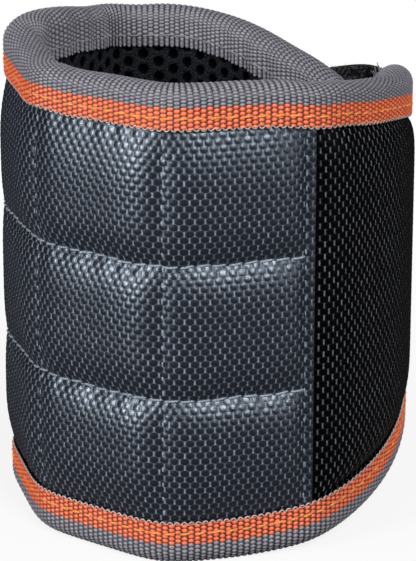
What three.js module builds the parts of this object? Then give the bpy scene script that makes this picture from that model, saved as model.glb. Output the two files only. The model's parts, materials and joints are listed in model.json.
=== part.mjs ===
// A magnetic wristband for holding screws and bits, closed in a loop as it is worn.
//
// The band is a sandwich: a quilted nylon panel, disc magnets in its sewn pockets, a pocket
// backing, foam padding and a mesh lining. A folded tape binds the upper and lower rims.
// Past the magnets lie a plain closing flap at one end and a loop-pile wrap at the other.
// A strap on the flap's end carries the hook strip that grips the loop pile.
//
// Millimetres, +Z up. The band stands on its lower rim and its front faces -Y.
import * as THREE from 'three';

// Band: the tall flat strip that is bent into the loop.
const BAND_HEIGHT = 90;
const COLUMN_WIDTH = 28;
const LOWEST_ROW = 23.4;
const FLAP_LENGTH = 58;
const BEND_RADIUS = 9;

// Bends, in degrees, in the order that they follow each other along the band.
const FRONT_HEADING = 194.7;
const FLAP_TURN = 60;
const FLAP_SEAM_BEND = 29.4;
const COLUMN_BENDS = [51.5, 38.3, 48];
const WRAP_SEAM_BEND = 56;
const WRAP_BACK = 10;
const WRAP_RADIUS = 26;
const WRAP_TURN = 50;
const TONGUE_LENGTH = 21;

// Both ends of the band narrow from above and below.
const TAPER_POWER = 1.5;
const FLAP_TAPER_RUN_IN = 15;
const FLAP_TOP_DROP = 11.3;
const FLAP_BOTTOM_RISE = 14.4;
const TONGUE_TAPER_RUN_IN = 12;
const TONGUE_TOP_DROP = 9;
const TONGUE_BOTTOM_RISE = 9;

// Layers, counted inwards from the panel's outer face.
const CLEARANCE = 0.3;
const PANEL = 1;
const BACKING = 0.5;
const PADDING = 1.6;
const LINING = 1;
const PILLOW = 2.4;
const FLAP_CROWN = 1.1;
const QUILT_POWER = 4;

// Magnets: flat discs, one behind each quilted cell.
const MAGNET_DIAMETER = 16;
const MAGNET_THICKNESS = 1.5;
const MAGNET_CHAMFER = 0.3;

// Binding tape, folded over a rim.
const TAPE = 0.7;
const TAPE_OUTSIDE = 8.2;
const TAPE_INSIDE = 10;
const TAPE_ROLL = 2.7;
const FOOT_FLAT = 0.5;
const END_TAPE_LEG = 6;

// Hook-and-loop closure.
const LOOP_PILE = 1.2;
const LOOP_MARGIN = 3;
const STRAP = 1.2;
const STRAP_HEIGHT = 60;
const STRAP_CONTACT = 31;
const STRAP_ROOT_REACH = 13;
const STRAP_LANDING_REACH = 9;
const STRAP_CORNER = 9;
const HOOK = 0.9;
const HOOK_MARGIN = 4;

// Facets.
const ARC_STEP = 14;
const STRAIGHT_STEP = 9;
const DISC_SIDES = 20;
const ROLL_STEPS = 3;
const STRAP_SWING_STEPS = 10;
const CORNER_STEPS = 4;

// Columns of magnets, with a bend at each seam between two of them. Of the three rows, the two
// upper ones share what the tapes and the lowest row leave.
const COLUMNS = COLUMN_BENDS.length + 1;
const UPPER_ROWS = 2;
const ROW_PITCH = (BAND_HEIGHT - 2 * TAPE_OUTSIDE - LOWEST_ROW) / UPPER_ROWS;

// Places along the band, counted from the flap's end to the tongue's tip.
const FLAP_SEAM = FLAP_LENGTH;
const WRAP_SEAM = FLAP_SEAM + COLUMNS * COLUMN_WIDTH;

// Offsets from the panel's outer face: outwards is positive.
const TAPE_FACE = CLEARANCE + TAPE;
const BACKING_OUTER = -PANEL - CLEARANCE;
const MAGNET_INNER = BACKING_OUTER + CLEARANCE;
const PADDING_OUTER = BACKING_OUTER - BACKING - CLEARANCE;
const PADDING_INNER = PADDING_OUTER - PADDING;
const LINING_OUTER = PADDING_INNER - CLEARANCE;
const LINING_INNER = LINING_OUTER - LINING;
const TAPE_BACK = LINING_INNER - CLEARANCE - TAPE;
const MID_WALL = LINING_INNER / 2;
const LOOP_OUTER = CLEARANCE + LOOP_PILE;
const STRAP_SEAT = LOOP_OUTER + CLEARANCE + HOOK + CLEARANCE + STRAP / 2;

const radians = THREE.MathUtils.degToRad;
const bendLength = (turn) => BEND_RADIUS * radians(turn);

// A plan path of straight stretches and arcs that all turn to the right.
class BendPath {
  constructor(heading, stretches) {
    this.spans = [];
    let start = { x: 0, y: 0, heading: radians(heading) };
    let s = 0;
    for (const { length, turn } of stretches) {
      const span = { from: s, to: s + length, bend: -radians(turn) / length, start };
      this.spans.push(span);
      start = BendPath.along(span, span.to);
      s = span.to;
    }
    this.length = s;
  }

  static along({ from, bend, start }, s) {
    const heading = start.heading + bend * (s - from);
    if (bend === 0) {
      const run = s - from;
      return {
        x: start.x + run * Math.cos(heading),
        y: start.y + run * Math.sin(heading),
        heading,
      };
    }
    return {
      x: start.x + (Math.sin(heading) - Math.sin(start.heading)) / bend,
      y: start.y - (Math.cos(heading) - Math.cos(start.heading)) / bend,
      heading,
    };
  }

  at(s) {
    const span = this.spans.find(({ to }) => s <= to) ?? this.spans.at(-1);
    return BendPath.along(span, s);
  }

  // A point on the wall: s along the band, n outwards from the panel's face, z up.
  point(s, n, z) {
    const { x, y, heading } = this.at(s);
    return new THREE.Vector3(x - n * Math.sin(heading), y + n * Math.cos(heading), z);
  }

  // Places between two ends, close enough together for the arcs to look round.
  stations(from, to) {
    const places = [from];
    for (const span of this.spans) {
      const low = Math.max(from, span.from);
      const high = Math.min(to, span.to);
      if (high - low < CLEARANCE) continue;
      const turn = Math.abs(span.bend) * (high - low);
      const count = Math.ceil(Math.max(turn / radians(ARC_STEP), (high - low) / STRAIGHT_STEP));
      for (let k = 1; k <= count; k++) places.push(low + ((high - low) * k) / count);
    }
    places[places.length - 1] = to;
    return places;
  }
}

function bandStretches() {
  const columnEnds = [FLAP_SEAM_BEND, ...COLUMN_BENDS, WRAP_SEAM_BEND];
  const stretches = [
    { length: FLAP_LENGTH - bendLength(FLAP_SEAM_BEND) / 2, turn: FLAP_TURN },
    { length: bendLength(FLAP_SEAM_BEND), turn: FLAP_SEAM_BEND },
  ];
  for (let column = 0; column < COLUMNS; column++) {
    const [before, after] = [columnEnds[column], columnEnds[column + 1]];
    stretches.push({ length: COLUMN_WIDTH - (bendLength(before) + bendLength(after)) / 2, turn: 0 });
    stretches.push({ length: bendLength(after), turn: after });
  }
  stretches.push({ length: WRAP_BACK, turn: 0 });
  stretches.push({ length: WRAP_RADIUS * radians(WRAP_TURN), turn: WRAP_TURN });
  stretches.push({ length: TONGUE_LENGTH, turn: 0 });
  return stretches;
}

const band = new BendPath(FRONT_HEADING + FLAP_SEAM_BEND + FLAP_TURN, bandStretches());

// How far the rims have drawn in at a place along the band.
function taper(s, start, end) {
  return Math.max(0, (s - start) / (end - start)) ** TAPER_POWER;
}

const flapTaper = (s) => taper(s, FLAP_SEAM + FLAP_TAPER_RUN_IN, 0);
const tongueTaper = (s) => taper(s, WRAP_SEAM + TONGUE_TAPER_RUN_IN, band.length);
const rimTop = (s) => BAND_HEIGHT - FLAP_TOP_DROP * flapTaper(s) - TONGUE_TOP_DROP * tongueTaper(s);
const rimBottom = (s) => FLAP_BOTTOM_RISE * flapTaper(s) + TONGUE_BOTTOM_RISE * tongueTaper(s);
const layerTop = (s) => rimTop(s) - TAPE_ROLL;
const layerBottom = (s) => rimBottom(s) + TAPE_ROLL - FOOT_FLAT;
const faceTop = (s) => rimTop(s) - TAPE_OUTSIDE;
const faceBottom = (s) => rimBottom(s) + TAPE_OUTSIDE;

// A closed body from points and triangles, turned so that its faces point out.
function closedGeometry(points, triangles) {
  const volume = triangles.reduce((sum, [a, b, c]) => {
    return sum + points[a].dot(new THREE.Vector3().crossVectors(points[b], points[c]));
  }, 0);
  const index = volume < 0 ? triangles.map(([a, b, c]) => [a, c, b]) : triangles;
  const geometry = new THREE.BufferGeometry();
  geometry.setFromPoints(points);
  geometry.setIndex(index.flat());
  geometry.computeVertexNormals();
  return geometry;
}

// Joins rings of equally many points and closes both ends, whose outline is given flat.
function loft(rings, outline) {
  const size = outline.length;
  const triangles = [];
  for (let ring = 0; ring + 1 < rings.length; ring++) {
    for (let k = 0; k < size; k++) {
      const a = ring * size + k;
      const b = ring * size + ((k + 1) % size);
      triangles.push([a, b, b + size], [a, b + size, a + size]);
    }
  }
  const last = (rings.length - 1) * size;
  const turnsLeft = THREE.ShapeUtils.area(outline) > 0;
  for (const [a, b, c] of THREE.ShapeUtils.triangulateShape(outline, [])) {
    const corner = [outline[a], outline[b], outline[c]];
    const sameWay = THREE.ShapeUtils.area(corner) > 0 === turnsLeft;
    const [p, q] = sameWay ? [b, c] : [c, b];
    triangles.push([a, q, p], [last + a, last + p, last + q]);
  }
  return closedGeometry(rings.flat(), triangles);
}

// A layer of the wall: a slab between two offsets that follows the band and its rims.
function layer(from, to, inner, outer, low = layerBottom, high = layerTop) {
  const section = (s) => [
    [outer, low(s)],
    [outer, high(s)],
    [inner, high(s)],
    [inner, low(s)],
  ];
  return sweep(from, to, section);
}

function sweep(from, to, section) {
  const rings = band.stations(from, to).map((s) => section(s).map(([n, z]) => band.point(s, n, z)));
  const outline = section(from).map(([n, z]) => new THREE.Vector2(n, z));
  return loft(rings, outline);
}

// Half an ellipse from the outer leg over the rim to the inner leg, as [offset, rise] pairs.
// Its crown may be pressed flat.
function rollOver(outer, inner, rise, flat) {
  const middle = (outer + inner) / 2;
  const reach = (outer - inner) / 2;
  const shoulder = Math.asin((rise - flat) / rise);
  const climb = Array.from({ length: ROLL_STEPS + 1 }, (_, k) => (shoulder * k) / ROLL_STEPS);
  const descent = climb.map((angle) => Math.PI - angle).reverse();
  const angles = [...climb, ...descent.slice(flat > 0 ? 0 : 1)];
  return angles.map((angle) => [middle + reach * Math.cos(angle), rise * Math.sin(angle)]);
}

// The folded tape of one rim. `up` is 1 for the upper rim and -1 for the lower one, whose
// roll is pressed flat where the band stands on it.
function bindingSection(up, rim) {
  const flat = up < 0 ? FOOT_FLAT : 0;
  const spring = TAPE_ROLL - flat;
  const outerRoll = rollOver(TAPE_FACE, TAPE_BACK, TAPE_ROLL, flat);
  const innerRoll = rollOver(CLEARANCE, LINING_INNER - CLEARANCE, spring - TAPE, 0).reverse();
  const depths = [
    [TAPE_FACE, TAPE_OUTSIDE],
    ...outerRoll.map(([n, rise]) => [n, spring - rise]),
    [TAPE_BACK, TAPE_INSIDE],
    [LINING_INNER - CLEARANCE, TAPE_INSIDE],
    ...innerRoll.map(([n, rise]) => [n, spring - rise]),
    [CLEARANCE, TAPE_OUTSIDE],
  ];
  return depths.map(([n, depth]) => [n, rim - up * depth]);
}

const bindingTop = (from, to) => sweep(from, to, (s) => bindingSection(1, rimTop(s)));
const bindingBottom = (from, to) => sweep(from, to, (s) => bindingSection(-1, rimBottom(s)));

// The tape folded round an upright end of the band, between the two rim tapes. `edge` is the
// end's place along the band and `inward` points back into it.
function endBinding(edge, inward) {
  const section = [
    [0, TAPE_FACE],
    [END_TAPE_LEG, TAPE_FACE],
    [END_TAPE_LEG, CLEARANCE],
    [TAPE, CLEARANCE],
    [TAPE, LINING_INNER - CLEARANCE],
    [END_TAPE_LEG, LINING_INNER - CLEARANCE],
    [END_TAPE_LEG, TAPE_BACK],
    [0, TAPE_BACK],
  ];
  const ring = (height) => section.map(([depth, n]) => {
    const s = edge + inward * depth;
    return band.point(s, n, height(s));
  });
  const low = (s) => rimBottom(s) + TAPE_INSIDE + CLEARANCE;
  const high = (s) => rimTop(s) - TAPE_INSIDE - CLEARANCE;
  return loft([ring(low), ring(high)], section.map(([depth, n]) => new THREE.Vector2(depth, n)));
}

// A sheet whose outer face swells between its seams. Each row of `grid` runs up the band and
// holds places [s, z, swell].
function swollenSheet(grid, thickness) {
  const rows = grid[0].length;
  const count = grid.length * rows;
  const outer = grid.flat().map(([s, z, swell]) => band.point(s, swell, z));
  const inner = grid.flat().map(([s, z, swell]) => band.point(s, swell - thickness, z));
  const triangles = [];
  const quad = (a, b, c, d) => triangles.push([a, b, c], [a, c, d]);
  for (let i = 0; i + 1 < grid.length; i++) {
    const right = i * rows;
    const left = right + rows;
    for (let j = 0; j + 1 < rows; j++) {
      quad(right + j, left + j, left + j + 1, right + j + 1);
      quad(count + right + j, count + right + j + 1, count + left + j + 1, count + left + j);
    }
    quad(right, count + right, count + left, left);
    const top = rows - 1;
    quad(right + top, left + top, count + left + top, count + right + top);
  }
  const last = (grid.length - 1) * rows;
  for (let j = 0; j + 1 < rows; j++) {
    quad(j, j + 1, count + j + 1, count + j);
    quad(last + j, count + last + j, count + last + j + 1, last + j + 1);
  }
  return closedGeometry([...outer, ...inner], triangles);
}

const swell = (u, v) => (1 - Math.abs(u) ** QUILT_POWER) * (1 - Math.abs(v) ** QUILT_POWER);

// Places across a quilted cell, from one seam at -1 to the next at 1.
const CELL_ACROSS = [-1, -0.86, -0.7, -0.35, 0.35, 0.7, 0.86];
const CELL_UP = [-1, -0.75, -0.3, 0.3, 0.75];

// The heights of the seams and tape edges that bound the rows of cells, upwards.
function rowLines(s) {
  const high = BAND_HEIGHT - TAPE_OUTSIDE - ROW_PITCH;
  return [faceBottom(s), high - ROW_PITCH, high, faceTop(s)];
}

// One upright run of the quilt: flat under each tape and swollen within each row.
function quiltRun(s, u) {
  const lines = rowLines(s);
  const run = [[s, layerBottom(s), 0]];
  for (let row = 0; row + 1 < lines.length; row++) {
    const middle = (lines[row] + lines[row + 1]) / 2;
    const half = (lines[row + 1] - lines[row]) / 2;
    for (const v of CELL_UP) run.push([s, middle + v * half, PILLOW * swell(u, v)]);
  }
  run.push([s, faceTop(s), 0], [s, layerTop(s), 0]);
  return run;
}

function magnetPanel(from, to) {
  const grid = [];
  for (let column = 0; column < COLUMNS; column++) {
    const middle = FLAP_SEAM + (column + 0.5) * COLUMN_WIDTH;
    for (const u of CELL_ACROSS) {
      const s = Math.max(from, middle + (u * COLUMN_WIDTH) / 2);
      grid.push(quiltRun(s, u));
    }
  }
  grid.push(quiltRun(to, 1));
  return swollenSheet(grid, PANEL);
}

// The plain closing panel, with one low crown between its seam, its end and the rim tapes.
function flapPanel(from, to) {
  const [start, end] = [from + END_TAPE_LEG, to];
  const places = [from, ...band.stations(start, end)];
  const grid = places.map((s) => {
    const u = Math.max(-1, (2 * (s - start)) / (end - start) - 1);
    const middle = (faceTop(s) + faceBottom(s)) / 2;
    const half = (faceTop(s) - faceBottom(s)) / 2;
    const run = [...CELL_UP, 1].map((v) => [s, middle + v * half, FLAP_CROWN * swell(u, v)]);
    return [[s, layerBottom(s), 0], ...run, [s, layerTop(s), 0]];
  });
  return swollenSheet(grid, PANEL);
}

// A chamfered disc about the Y axis.
function magnetDisc() {
  const radius = MAGNET_DIAMETER / 2;
  const half = MAGNET_THICKNESS / 2;
  const profile = [
    [0, -half],
    [radius - MAGNET_CHAMFER, -half],
    [radius, -half + MAGNET_CHAMFER],
    [radius, half - MAGNET_CHAMFER],
    [radius - MAGNET_CHAMFER, half],
    [0, half],
  ];
  return new THREE.LatheGeometry(profile.map(([r, y]) => new THREE.Vector2(r, y)), DISC_SIDES);
}

// The strap leaves the flap's end in line with it, swings in and lies along the loop pile.
const strapRoot = band.point(-CLEARANCE - STRAP / 2, MID_WALL, 0);
const strapLanding = band.length - TONGUE_LENGTH;

function strapLine() {
  const backwards = (s) => {
    const { heading } = band.at(s);
    return new THREE.Vector3(-Math.cos(heading), -Math.sin(heading), 0);
  };
  const landing = band.point(strapLanding, STRAP_SEAT, 0);
  const swing = new THREE.CubicBezierCurve3(
    strapRoot,
    strapRoot.clone().addScaledVector(backwards(0), STRAP_ROOT_REACH),
    landing.clone().addScaledVector(backwards(strapLanding), -STRAP_LANDING_REACH),
    landing,
  );
  const line = [];
  for (let k = 0; k < STRAP_SWING_STEPS; k++) {
    const t = k / STRAP_SWING_STEPS;
    line.push({ point: swing.getPoint(t), along: swing.getTangent(t) });
  }
  const seated = band.stations(strapLanding - STRAP_CONTACT, strapLanding).reverse();
  for (const s of seated) line.push({ point: band.point(s, STRAP_SEAT, 0), along: backwards(s) });
  line[0].run = 0;
  for (let k = 1; k < line.length; k++) {
    line[k].run = line[k - 1].run + line[k].point.distanceTo(line[k - 1].point);
  }
  return line;
}

const strapPath = strapLine();
const strapLength = strapPath.at(-1).run;
const strapMiddle = (rimTop(0) + rimBottom(0)) / 2;

// The strap's rounded root: how far it reaches and how thick it still is, as shares of the strap.
const STRAP_NOSE = [
  { reach: 0.6, squeeze: 0.84 },
  { reach: 1, squeeze: 0.44 },
];

// A place between two points of the strap's line.
function strapAt(run) {
  const next = Math.max(1, strapPath.findIndex((place) => place.run >= run));
  const [a, b] = [strapPath[next - 1], strapPath[next]];
  const share = (run - a.run) / (b.run - a.run);
  const point = a.point.clone().lerp(b.point, share);
  const along = a.along.clone().lerp(b.along, share).normalize();
  return { point, along };
}

// A flat strip on the strap's line, between two offsets, with round corners at its far end.
// At its root the strap itself has a rounded nose about the line that it folds on.
function strapStrip(from, to, inner, outer, margin, nose) {
  const corner = STRAP_CORNER - margin;
  const quarters = Array.from({ length: CORNER_STEPS }, (_, k) => (k + 1) / CORNER_STEPS);
  const turns = quarters.map((k) => to - corner * (1 - Math.sin((k * Math.PI) / 2)));
  const middle = strapPath.map(({ run }) => run).filter((run) => run > from && run < to - corner);
  const runs = [from, ...middle, to - corner, ...turns];
  const ring = (run, squeeze = 1) => {
    const past = Math.max(0, run - (to - corner));
    const inset = margin + corner - Math.sqrt(Math.max(0, corner ** 2 - past ** 2));
    const { point, along } = strapAt(run);
    const [low, high] = [-1, 1].map((up) => strapMiddle + up * (STRAP_HEIGHT / 2 - inset));
    const place = (n, z) => new THREE.Vector3(point.x + n * along.y, point.y - n * along.x, z);
    const [back, front] = [inner * squeeze, outer * squeeze];
    return [place(front, low), place(front, high), place(back, high), place(back, low)];
  };
  const rings = runs.map((run) => ring(run));
  if (nose) {
    const { along } = strapPath[0];
    for (const { reach, squeeze } of STRAP_NOSE) {
      rings.unshift(ring(0, squeeze).map((p) => p.addScaledVector(along, (-reach * STRAP) / 2)));
    }
  }
  const outline = [[outer, 0], [outer, 1], [inner, 1], [inner, 0]];
  return loft(rings, outline.map(([x, y]) => new THREE.Vector2(x, y)));
}

// Finishes.
const finish = (color, roughness, metalness = 0) => {
  return new THREE.MeshStandardMaterial({ color, roughness, metalness });
};
const GREY_NYLON = finish(0x3d434d, 0.6);
const BLACK_NYLON = finish(0x15161a, 0.6);
const BLACK_PILE = finish(0x0d0d0f, 0.95);
const ORANGE_TAPE = finish(0xe5652f, 0.75);
const GREY_TAPE = finish(0x67656c, 0.75);
const FOAM = finish(0x2a2a2e, 0.9);
const BACKING_CLOTH = finish(0x1d1e22, 0.8);
const MESH_CLOTH = finish(0x121215, 0.9);
const PLATED_MAGNET = finish(0xb9bcc2, 0.3, 1);

const wristband = new THREE.Group();

function add(name, geometry, material) {
  const mesh = new THREE.Mesh(geometry, material);
  mesh.name = name;
  wristband.add(mesh);
  return mesh;
}

// The stretch with the magnets.
const HALF_GAP = CLEARANCE / 2;
const [bandFrom, bandTo] = [FLAP_SEAM + HALF_GAP, WRAP_SEAM - HALF_GAP];
add('magnet_panel', magnetPanel(bandFrom, bandTo), GREY_NYLON);
add('pocket_backing', layer(bandFrom, bandTo, BACKING_OUTER - BACKING, BACKING_OUTER), BACKING_CLOTH);
add('band_padding', layer(bandFrom, bandTo, PADDING_INNER, PADDING_OUTER), FOAM);
add('band_lining', layer(bandFrom, bandTo, LINING_INNER, LINING_OUTER), MESH_CLOTH);
add('band_binding_top', bindingTop(bandFrom, bandTo), ORANGE_TAPE);
add('band_binding_bottom', bindingBottom(bandFrom, bandTo), ORANGE_TAPE);

for (let column = 0; column < COLUMNS; column++) {
  const s = FLAP_SEAM + (column + 0.5) * COLUMN_WIDTH;
  const lines = rowLines(s);
  for (let row = 0; row + 1 < lines.length; row++) {
    const magnet = add(`magnet_row${row + 1}_column${column + 1}`, magnetDisc(), PLATED_MAGNET);
    const middle = (lines[row] + lines[row + 1]) / 2;
    magnet.position.copy(band.point(s, MAGNET_INNER + MAGNET_THICKNESS / 2, middle));
    magnet.rotation.z = band.at(s).heading;
  }
}

// The closing flap.
const END_STOP = TAPE + CLEARANCE;
const flapTo = FLAP_SEAM - HALF_GAP;
add('flap_panel', flapPanel(END_STOP, flapTo), BLACK_NYLON);
add('flap_padding', layer(END_STOP, flapTo, PADDING_INNER, BACKING_OUTER), FOAM);
add('flap_lining', layer(END_STOP, flapTo, LINING_INNER, LINING_OUTER), MESH_CLOTH);
add('flap_binding_top', bindingTop(0, flapTo), ORANGE_TAPE);
add('flap_binding_bottom', bindingBottom(0, flapTo), ORANGE_TAPE);
add('flap_end_binding', endBinding(0, 1), GREY_TAPE);

// The wrap and its tongue, which tucks inside the flap.
const [wrapFrom, wrapTo] = [WRAP_SEAM + HALF_GAP, band.length - END_STOP];
const loopBottom = (s) => faceBottom(s) + LOOP_MARGIN;
const loopTop = (s) => faceTop(s) - LOOP_MARGIN;
const loopTo = wrapTo - END_TAPE_LEG;
add('wrap_panel', layer(wrapFrom, wrapTo, -PANEL, 0), BLACK_NYLON);
const loopField = layer(wrapFrom + LOOP_MARGIN, loopTo, CLEARANCE, LOOP_OUTER, loopBottom, loopTop);
add('loop_pile', loopField, BLACK_PILE);
add('wrap_padding', layer(wrapFrom, wrapTo, PADDING_INNER, BACKING_OUTER), FOAM);
add('wrap_lining', layer(wrapFrom, wrapTo, LINING_INNER, LINING_OUTER), MESH_CLOTH);
add('wrap_binding_top', bindingTop(wrapFrom, band.length), ORANGE_TAPE);
add('wrap_binding_bottom', bindingBottom(wrapFrom, band.length), ORANGE_TAPE);
add('tongue_end_binding', endBinding(band.length, -1), GREY_TAPE);

// The closing strap. The hook strip lies on the stretch that meets the loop pile.
const hookFrom = strapLength - STRAP_CONTACT;
const hookTo = strapLength - HOOK_MARGIN;
const hookOuter = -STRAP / 2 - CLEARANCE;
const hookStrip = strapStrip(hookFrom, hookTo, hookOuter - HOOK, hookOuter, HOOK_MARGIN, false);
add('closing_strap', strapStrip(0, strapLength, -STRAP / 2, STRAP / 2, 0, true), BLACK_PILE);
add('hook_strip', hookStrip, BLACK_PILE);

// The origin is the middle of the footprint, at the height that the band stands on.
const bounds = new THREE.Box3().setFromObject(wristband, true);
const footprint = bounds.getCenter(new THREE.Vector3());
wristband.position.set(-footprint.x, -footprint.y, -bounds.min.z);

// Upright hinge lines: the two sewn seams fold at the tape's outer face, the strap at its root.
wristband.userData.hinges = {
  flap: band.point(FLAP_SEAM, TAPE_FACE, 0).add(wristband.position),
  wrap: band.point(WRAP_SEAM, TAPE_FACE, 0).add(wristband.position),
  strap: strapRoot.clone().add(wristband.position),
};

export default wristband;
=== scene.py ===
"""Magnetic wristband: the looks of every cloth, tape, thread and magnet, round the packed model."""

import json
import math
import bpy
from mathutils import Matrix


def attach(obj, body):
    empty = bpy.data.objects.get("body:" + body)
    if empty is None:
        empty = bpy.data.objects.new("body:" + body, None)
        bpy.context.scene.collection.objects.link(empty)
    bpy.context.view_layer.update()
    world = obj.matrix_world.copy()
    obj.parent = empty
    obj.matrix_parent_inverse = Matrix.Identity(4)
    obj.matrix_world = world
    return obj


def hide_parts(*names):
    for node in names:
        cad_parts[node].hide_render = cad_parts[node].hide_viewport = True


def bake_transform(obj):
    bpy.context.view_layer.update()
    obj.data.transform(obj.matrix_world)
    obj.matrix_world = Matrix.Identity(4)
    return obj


bl_info = {
    "name": "Magnetic Wristband",
    "version": (1, 0, 0),
    "blender": (4, 5, 0),
    "location": "3D View > Sidebar > Wristband",
    "description": "Builds a quilted magnetic wristband with bound rims and a closing strap",
    "category": "Add Mesh",
}

from typing import NamedTuple

import bpy
import numpy as np
from bpy.props import FloatProperty, FloatVectorProperty, IntProperty, PointerProperty
from mathutils import Vector

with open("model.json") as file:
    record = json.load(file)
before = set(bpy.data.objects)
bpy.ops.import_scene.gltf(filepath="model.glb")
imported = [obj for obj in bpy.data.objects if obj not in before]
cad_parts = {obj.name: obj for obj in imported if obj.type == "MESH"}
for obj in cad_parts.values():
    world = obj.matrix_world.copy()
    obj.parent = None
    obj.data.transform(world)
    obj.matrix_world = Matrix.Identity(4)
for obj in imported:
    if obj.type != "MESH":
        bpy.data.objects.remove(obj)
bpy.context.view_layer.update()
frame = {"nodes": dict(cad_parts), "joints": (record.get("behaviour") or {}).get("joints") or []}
HINGES = {joint["name"]: np.array(joint["pos_m"]) for joint in frame["joints"]}

MM = 0.001


# Properties


def length(name, description, millimetres):
    return FloatProperty(
        name=name, description=description, default=millimetres * MM, unit="LENGTH", precision=5
    )


def angle(name, description, degrees):
    return FloatProperty(
        name=name, description=description, default=math.radians(degrees), subtype="ANGLE"
    )


def colour(name, description, rgb):
    return FloatVectorProperty(
        name=name, description=description, default=(*rgb, 1.0), size=4, subtype="COLOR", min=0, max=1
    )


def spot(name, description, metres):
    return FloatVectorProperty(
        name=name, description=description, default=metres, subtype="TRANSLATION", unit="LENGTH"
    )


def number(name, description, value):
    return FloatProperty(name=name, description=description, default=value)


def share(name, description, value):
    return FloatProperty(name=name, description=description, default=value, min=0, max=1, subtype="FACTOR")


class WristbandSizes(bpy.types.PropertyGroup):
    """The band's plan, its rims and its layers."""

    band_height: length("Height", "Height of the band over its tapes", 90)
    column_width: length("Column width", "Width of one quilted column", 28)
    lowest_row: length("Lowest row", "Height of the lowest row of cells", 23.4)
    flap_length: length("Flap length", "From the flap's end to its seam", 58)
    bend_radius: length("Bend radius", "Radius of the bend at each upright seam", 9)
    softness: length("Softness", "How far along the band each bend is eased", 3.5)
    front_heading: angle("Front heading", "Direction of the first column, seen from above", 194.7)
    flap_turn: angle("Flap turn", "Turn along the whole flap", 58.5)
    flap_seam_bend: angle("Flap seam bend", "Turn at the flap's seam", 29.4)
    column_bends: FloatVectorProperty(
        name="Column bends",
        description="Turns at the seams between columns, in degrees",
        default=(51.5, 38.3, 48.0),
        size=3,
    )
    wrap_seam_bend: angle("Wrap seam bend", "Turn at the wrap's seam", 56)
    wrap_back: length("Wrap back", "Straight stretch after the wrap's seam", 10)
    wrap_radius: length("Wrap radius", "Radius of the wrap's curve", 26)
    wrap_turn: angle("Wrap turn", "Turn of the wrap's curve", 50)
    tongue_length: length("Tongue length", "Straight end of the wrap", 21)
    taper_power: number("Taper power", "How late the rims draw in towards both ends", 1.5)
    flap_run_in: length("Flap taper run-in", "Where the flap's taper starts past its seam", 15)
    flap_top_drop: length("Flap top drop", "Drop of the upper rim at the flap's end", 12.8)
    flap_bottom_rise: length("Flap bottom rise", "Rise of the lower rim at the flap's end", 14.4)
    tongue_run_in: length("Tongue taper run-in", "Where the tongue's taper starts past its seam", 12)
    tongue_drop: length("Tongue drop", "How far each rim draws in at the tongue's tip", 9)
    rear_sag: length("Rear sag", "How far the upper rim sags at the wrap's seam", 0.5)
    tautness: share("Tautness", "How far the bend at the third column stretches the row seams out", 0.7)
    pillow: length("Pillow", "How far a quilted cell swells out", 2.1)
    flap_crown: length("Flap crown", "How far the flap swells out", 2.1)
    panel: length("Panel", "Thickness of the outer cloth", 0.7)
    hem: length("Hem", "Width of the quilt's folded edge outside its edge stitch", 1.7)
    lining_face: length("Lining face", "Depth of the lining's inner face", 5)
    lining: length("Lining", "Thickness of the mesh lining", 1)
    foam: length("Foam", "Thickness of the padding behind the magnets", 1.6)
    tape: length("Tape", "Thickness of the rim tape", 0.7)
    tape_face: length("Tape face", "How far the rim tape stands outside the cloth", 1)
    tape_back: length("Tape back", "Depth of the rim tape's inner face", 6)
    tape_outside: length("Tape outside", "Depth of the rim tape on the outside", 8.2)
    tape_inside: length("Tape inside", "Depth of the rim tape on the inside", 8.4)
    tape_roll: length("Tape roll", "Height of the tape's roll over the upper rim", 2.7)
    tape_closing: length("Tape closing", "How far from its end the rim tape begins to close", 2.0)
    foot_roll: length("Foot roll", "Height of the tape's roll under the lower rim", 3.4)
    foot_flat: length("Foot flat", "How far the lower roll is pressed flat", 0.3)
    roll_squash: length("Roll squash", "How far the upper roll is pressed down", 0.8)
    corner_puff: length("Corner puff", "How far the upper roll swells behind the third column", 1.9)
    end_puff: length("End puff", "How far the upper roll swells near the flap's end", 2.1)
    end_puff_place: length("End puff place", "How far from the flap's end the roll swells most", 13)
    end_puff_reach: length("End puff reach", "Over what length that swelling fades", 9)
    corner_rise: length("Corner rise", "How far the upper rim rises behind the third column", 0.8)
    rim_wave: length("Rim wave", "Unevenness of the rim and of the tape's inner leg", 0.25)
    pucker: length("Pucker", "Height of the creases along the quilt's row seams", 0.10)
    wander: length("Wander", "How far a row seam strays from its line", 0.14)
    crease: share("Crease", "How far an upright seam pulls the padding in", 0.55)
    end_tape: length("End tape", "Depth of the tape over an upright end", 6)


class WristbandCloth(bpy.types.PropertyGroup):
    """Yarns, beads, holes and stitches."""

    weave_pitch: length("Weave pitch", "Distance between weft floats along a row", 1.75)
    weave_row: length("Weave row", "Height of one row of the weave", 1.15)
    weave_height: length("Weave height", "Relief of the weave", 0.22)
    bead_column: length("Bead column", "Width of one column of the tape's beads", 1.15)
    bead_row: length("Bead row", "Distance between beads in a column", 0.82)
    bead_height: length("Bead height", "Relief of the tape's beads", 0.38)
    hole_pitch: length("Hole pitch", "Distance between the lining's holes up a column", 3.0)
    hole_column: length("Hole column", "Distance between columns of holes", 3.15)
    hole_diameter: length("Hole diameter", "Diameter of the lining's holes", 1.8)
    stripe: length("Stripe", "Width of the orange stripe along the tape's outer edge", 3.85)
    stitch: length("Stitch", "Length of one stitch", 2.9)
    thread: length("Thread", "Diameter of the sewing thread", 0.45)
    loops_per_area: number("Loops per area", "Loops of the pile on a square metre", 1.4e6)
    hairs_per_area: number("Hairs per area", "Hairs of the napped strap on a square metre", 0.8e6)
    seed: IntProperty(name="Seed", description="Seed of everything that is scattered", default=7)


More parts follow.
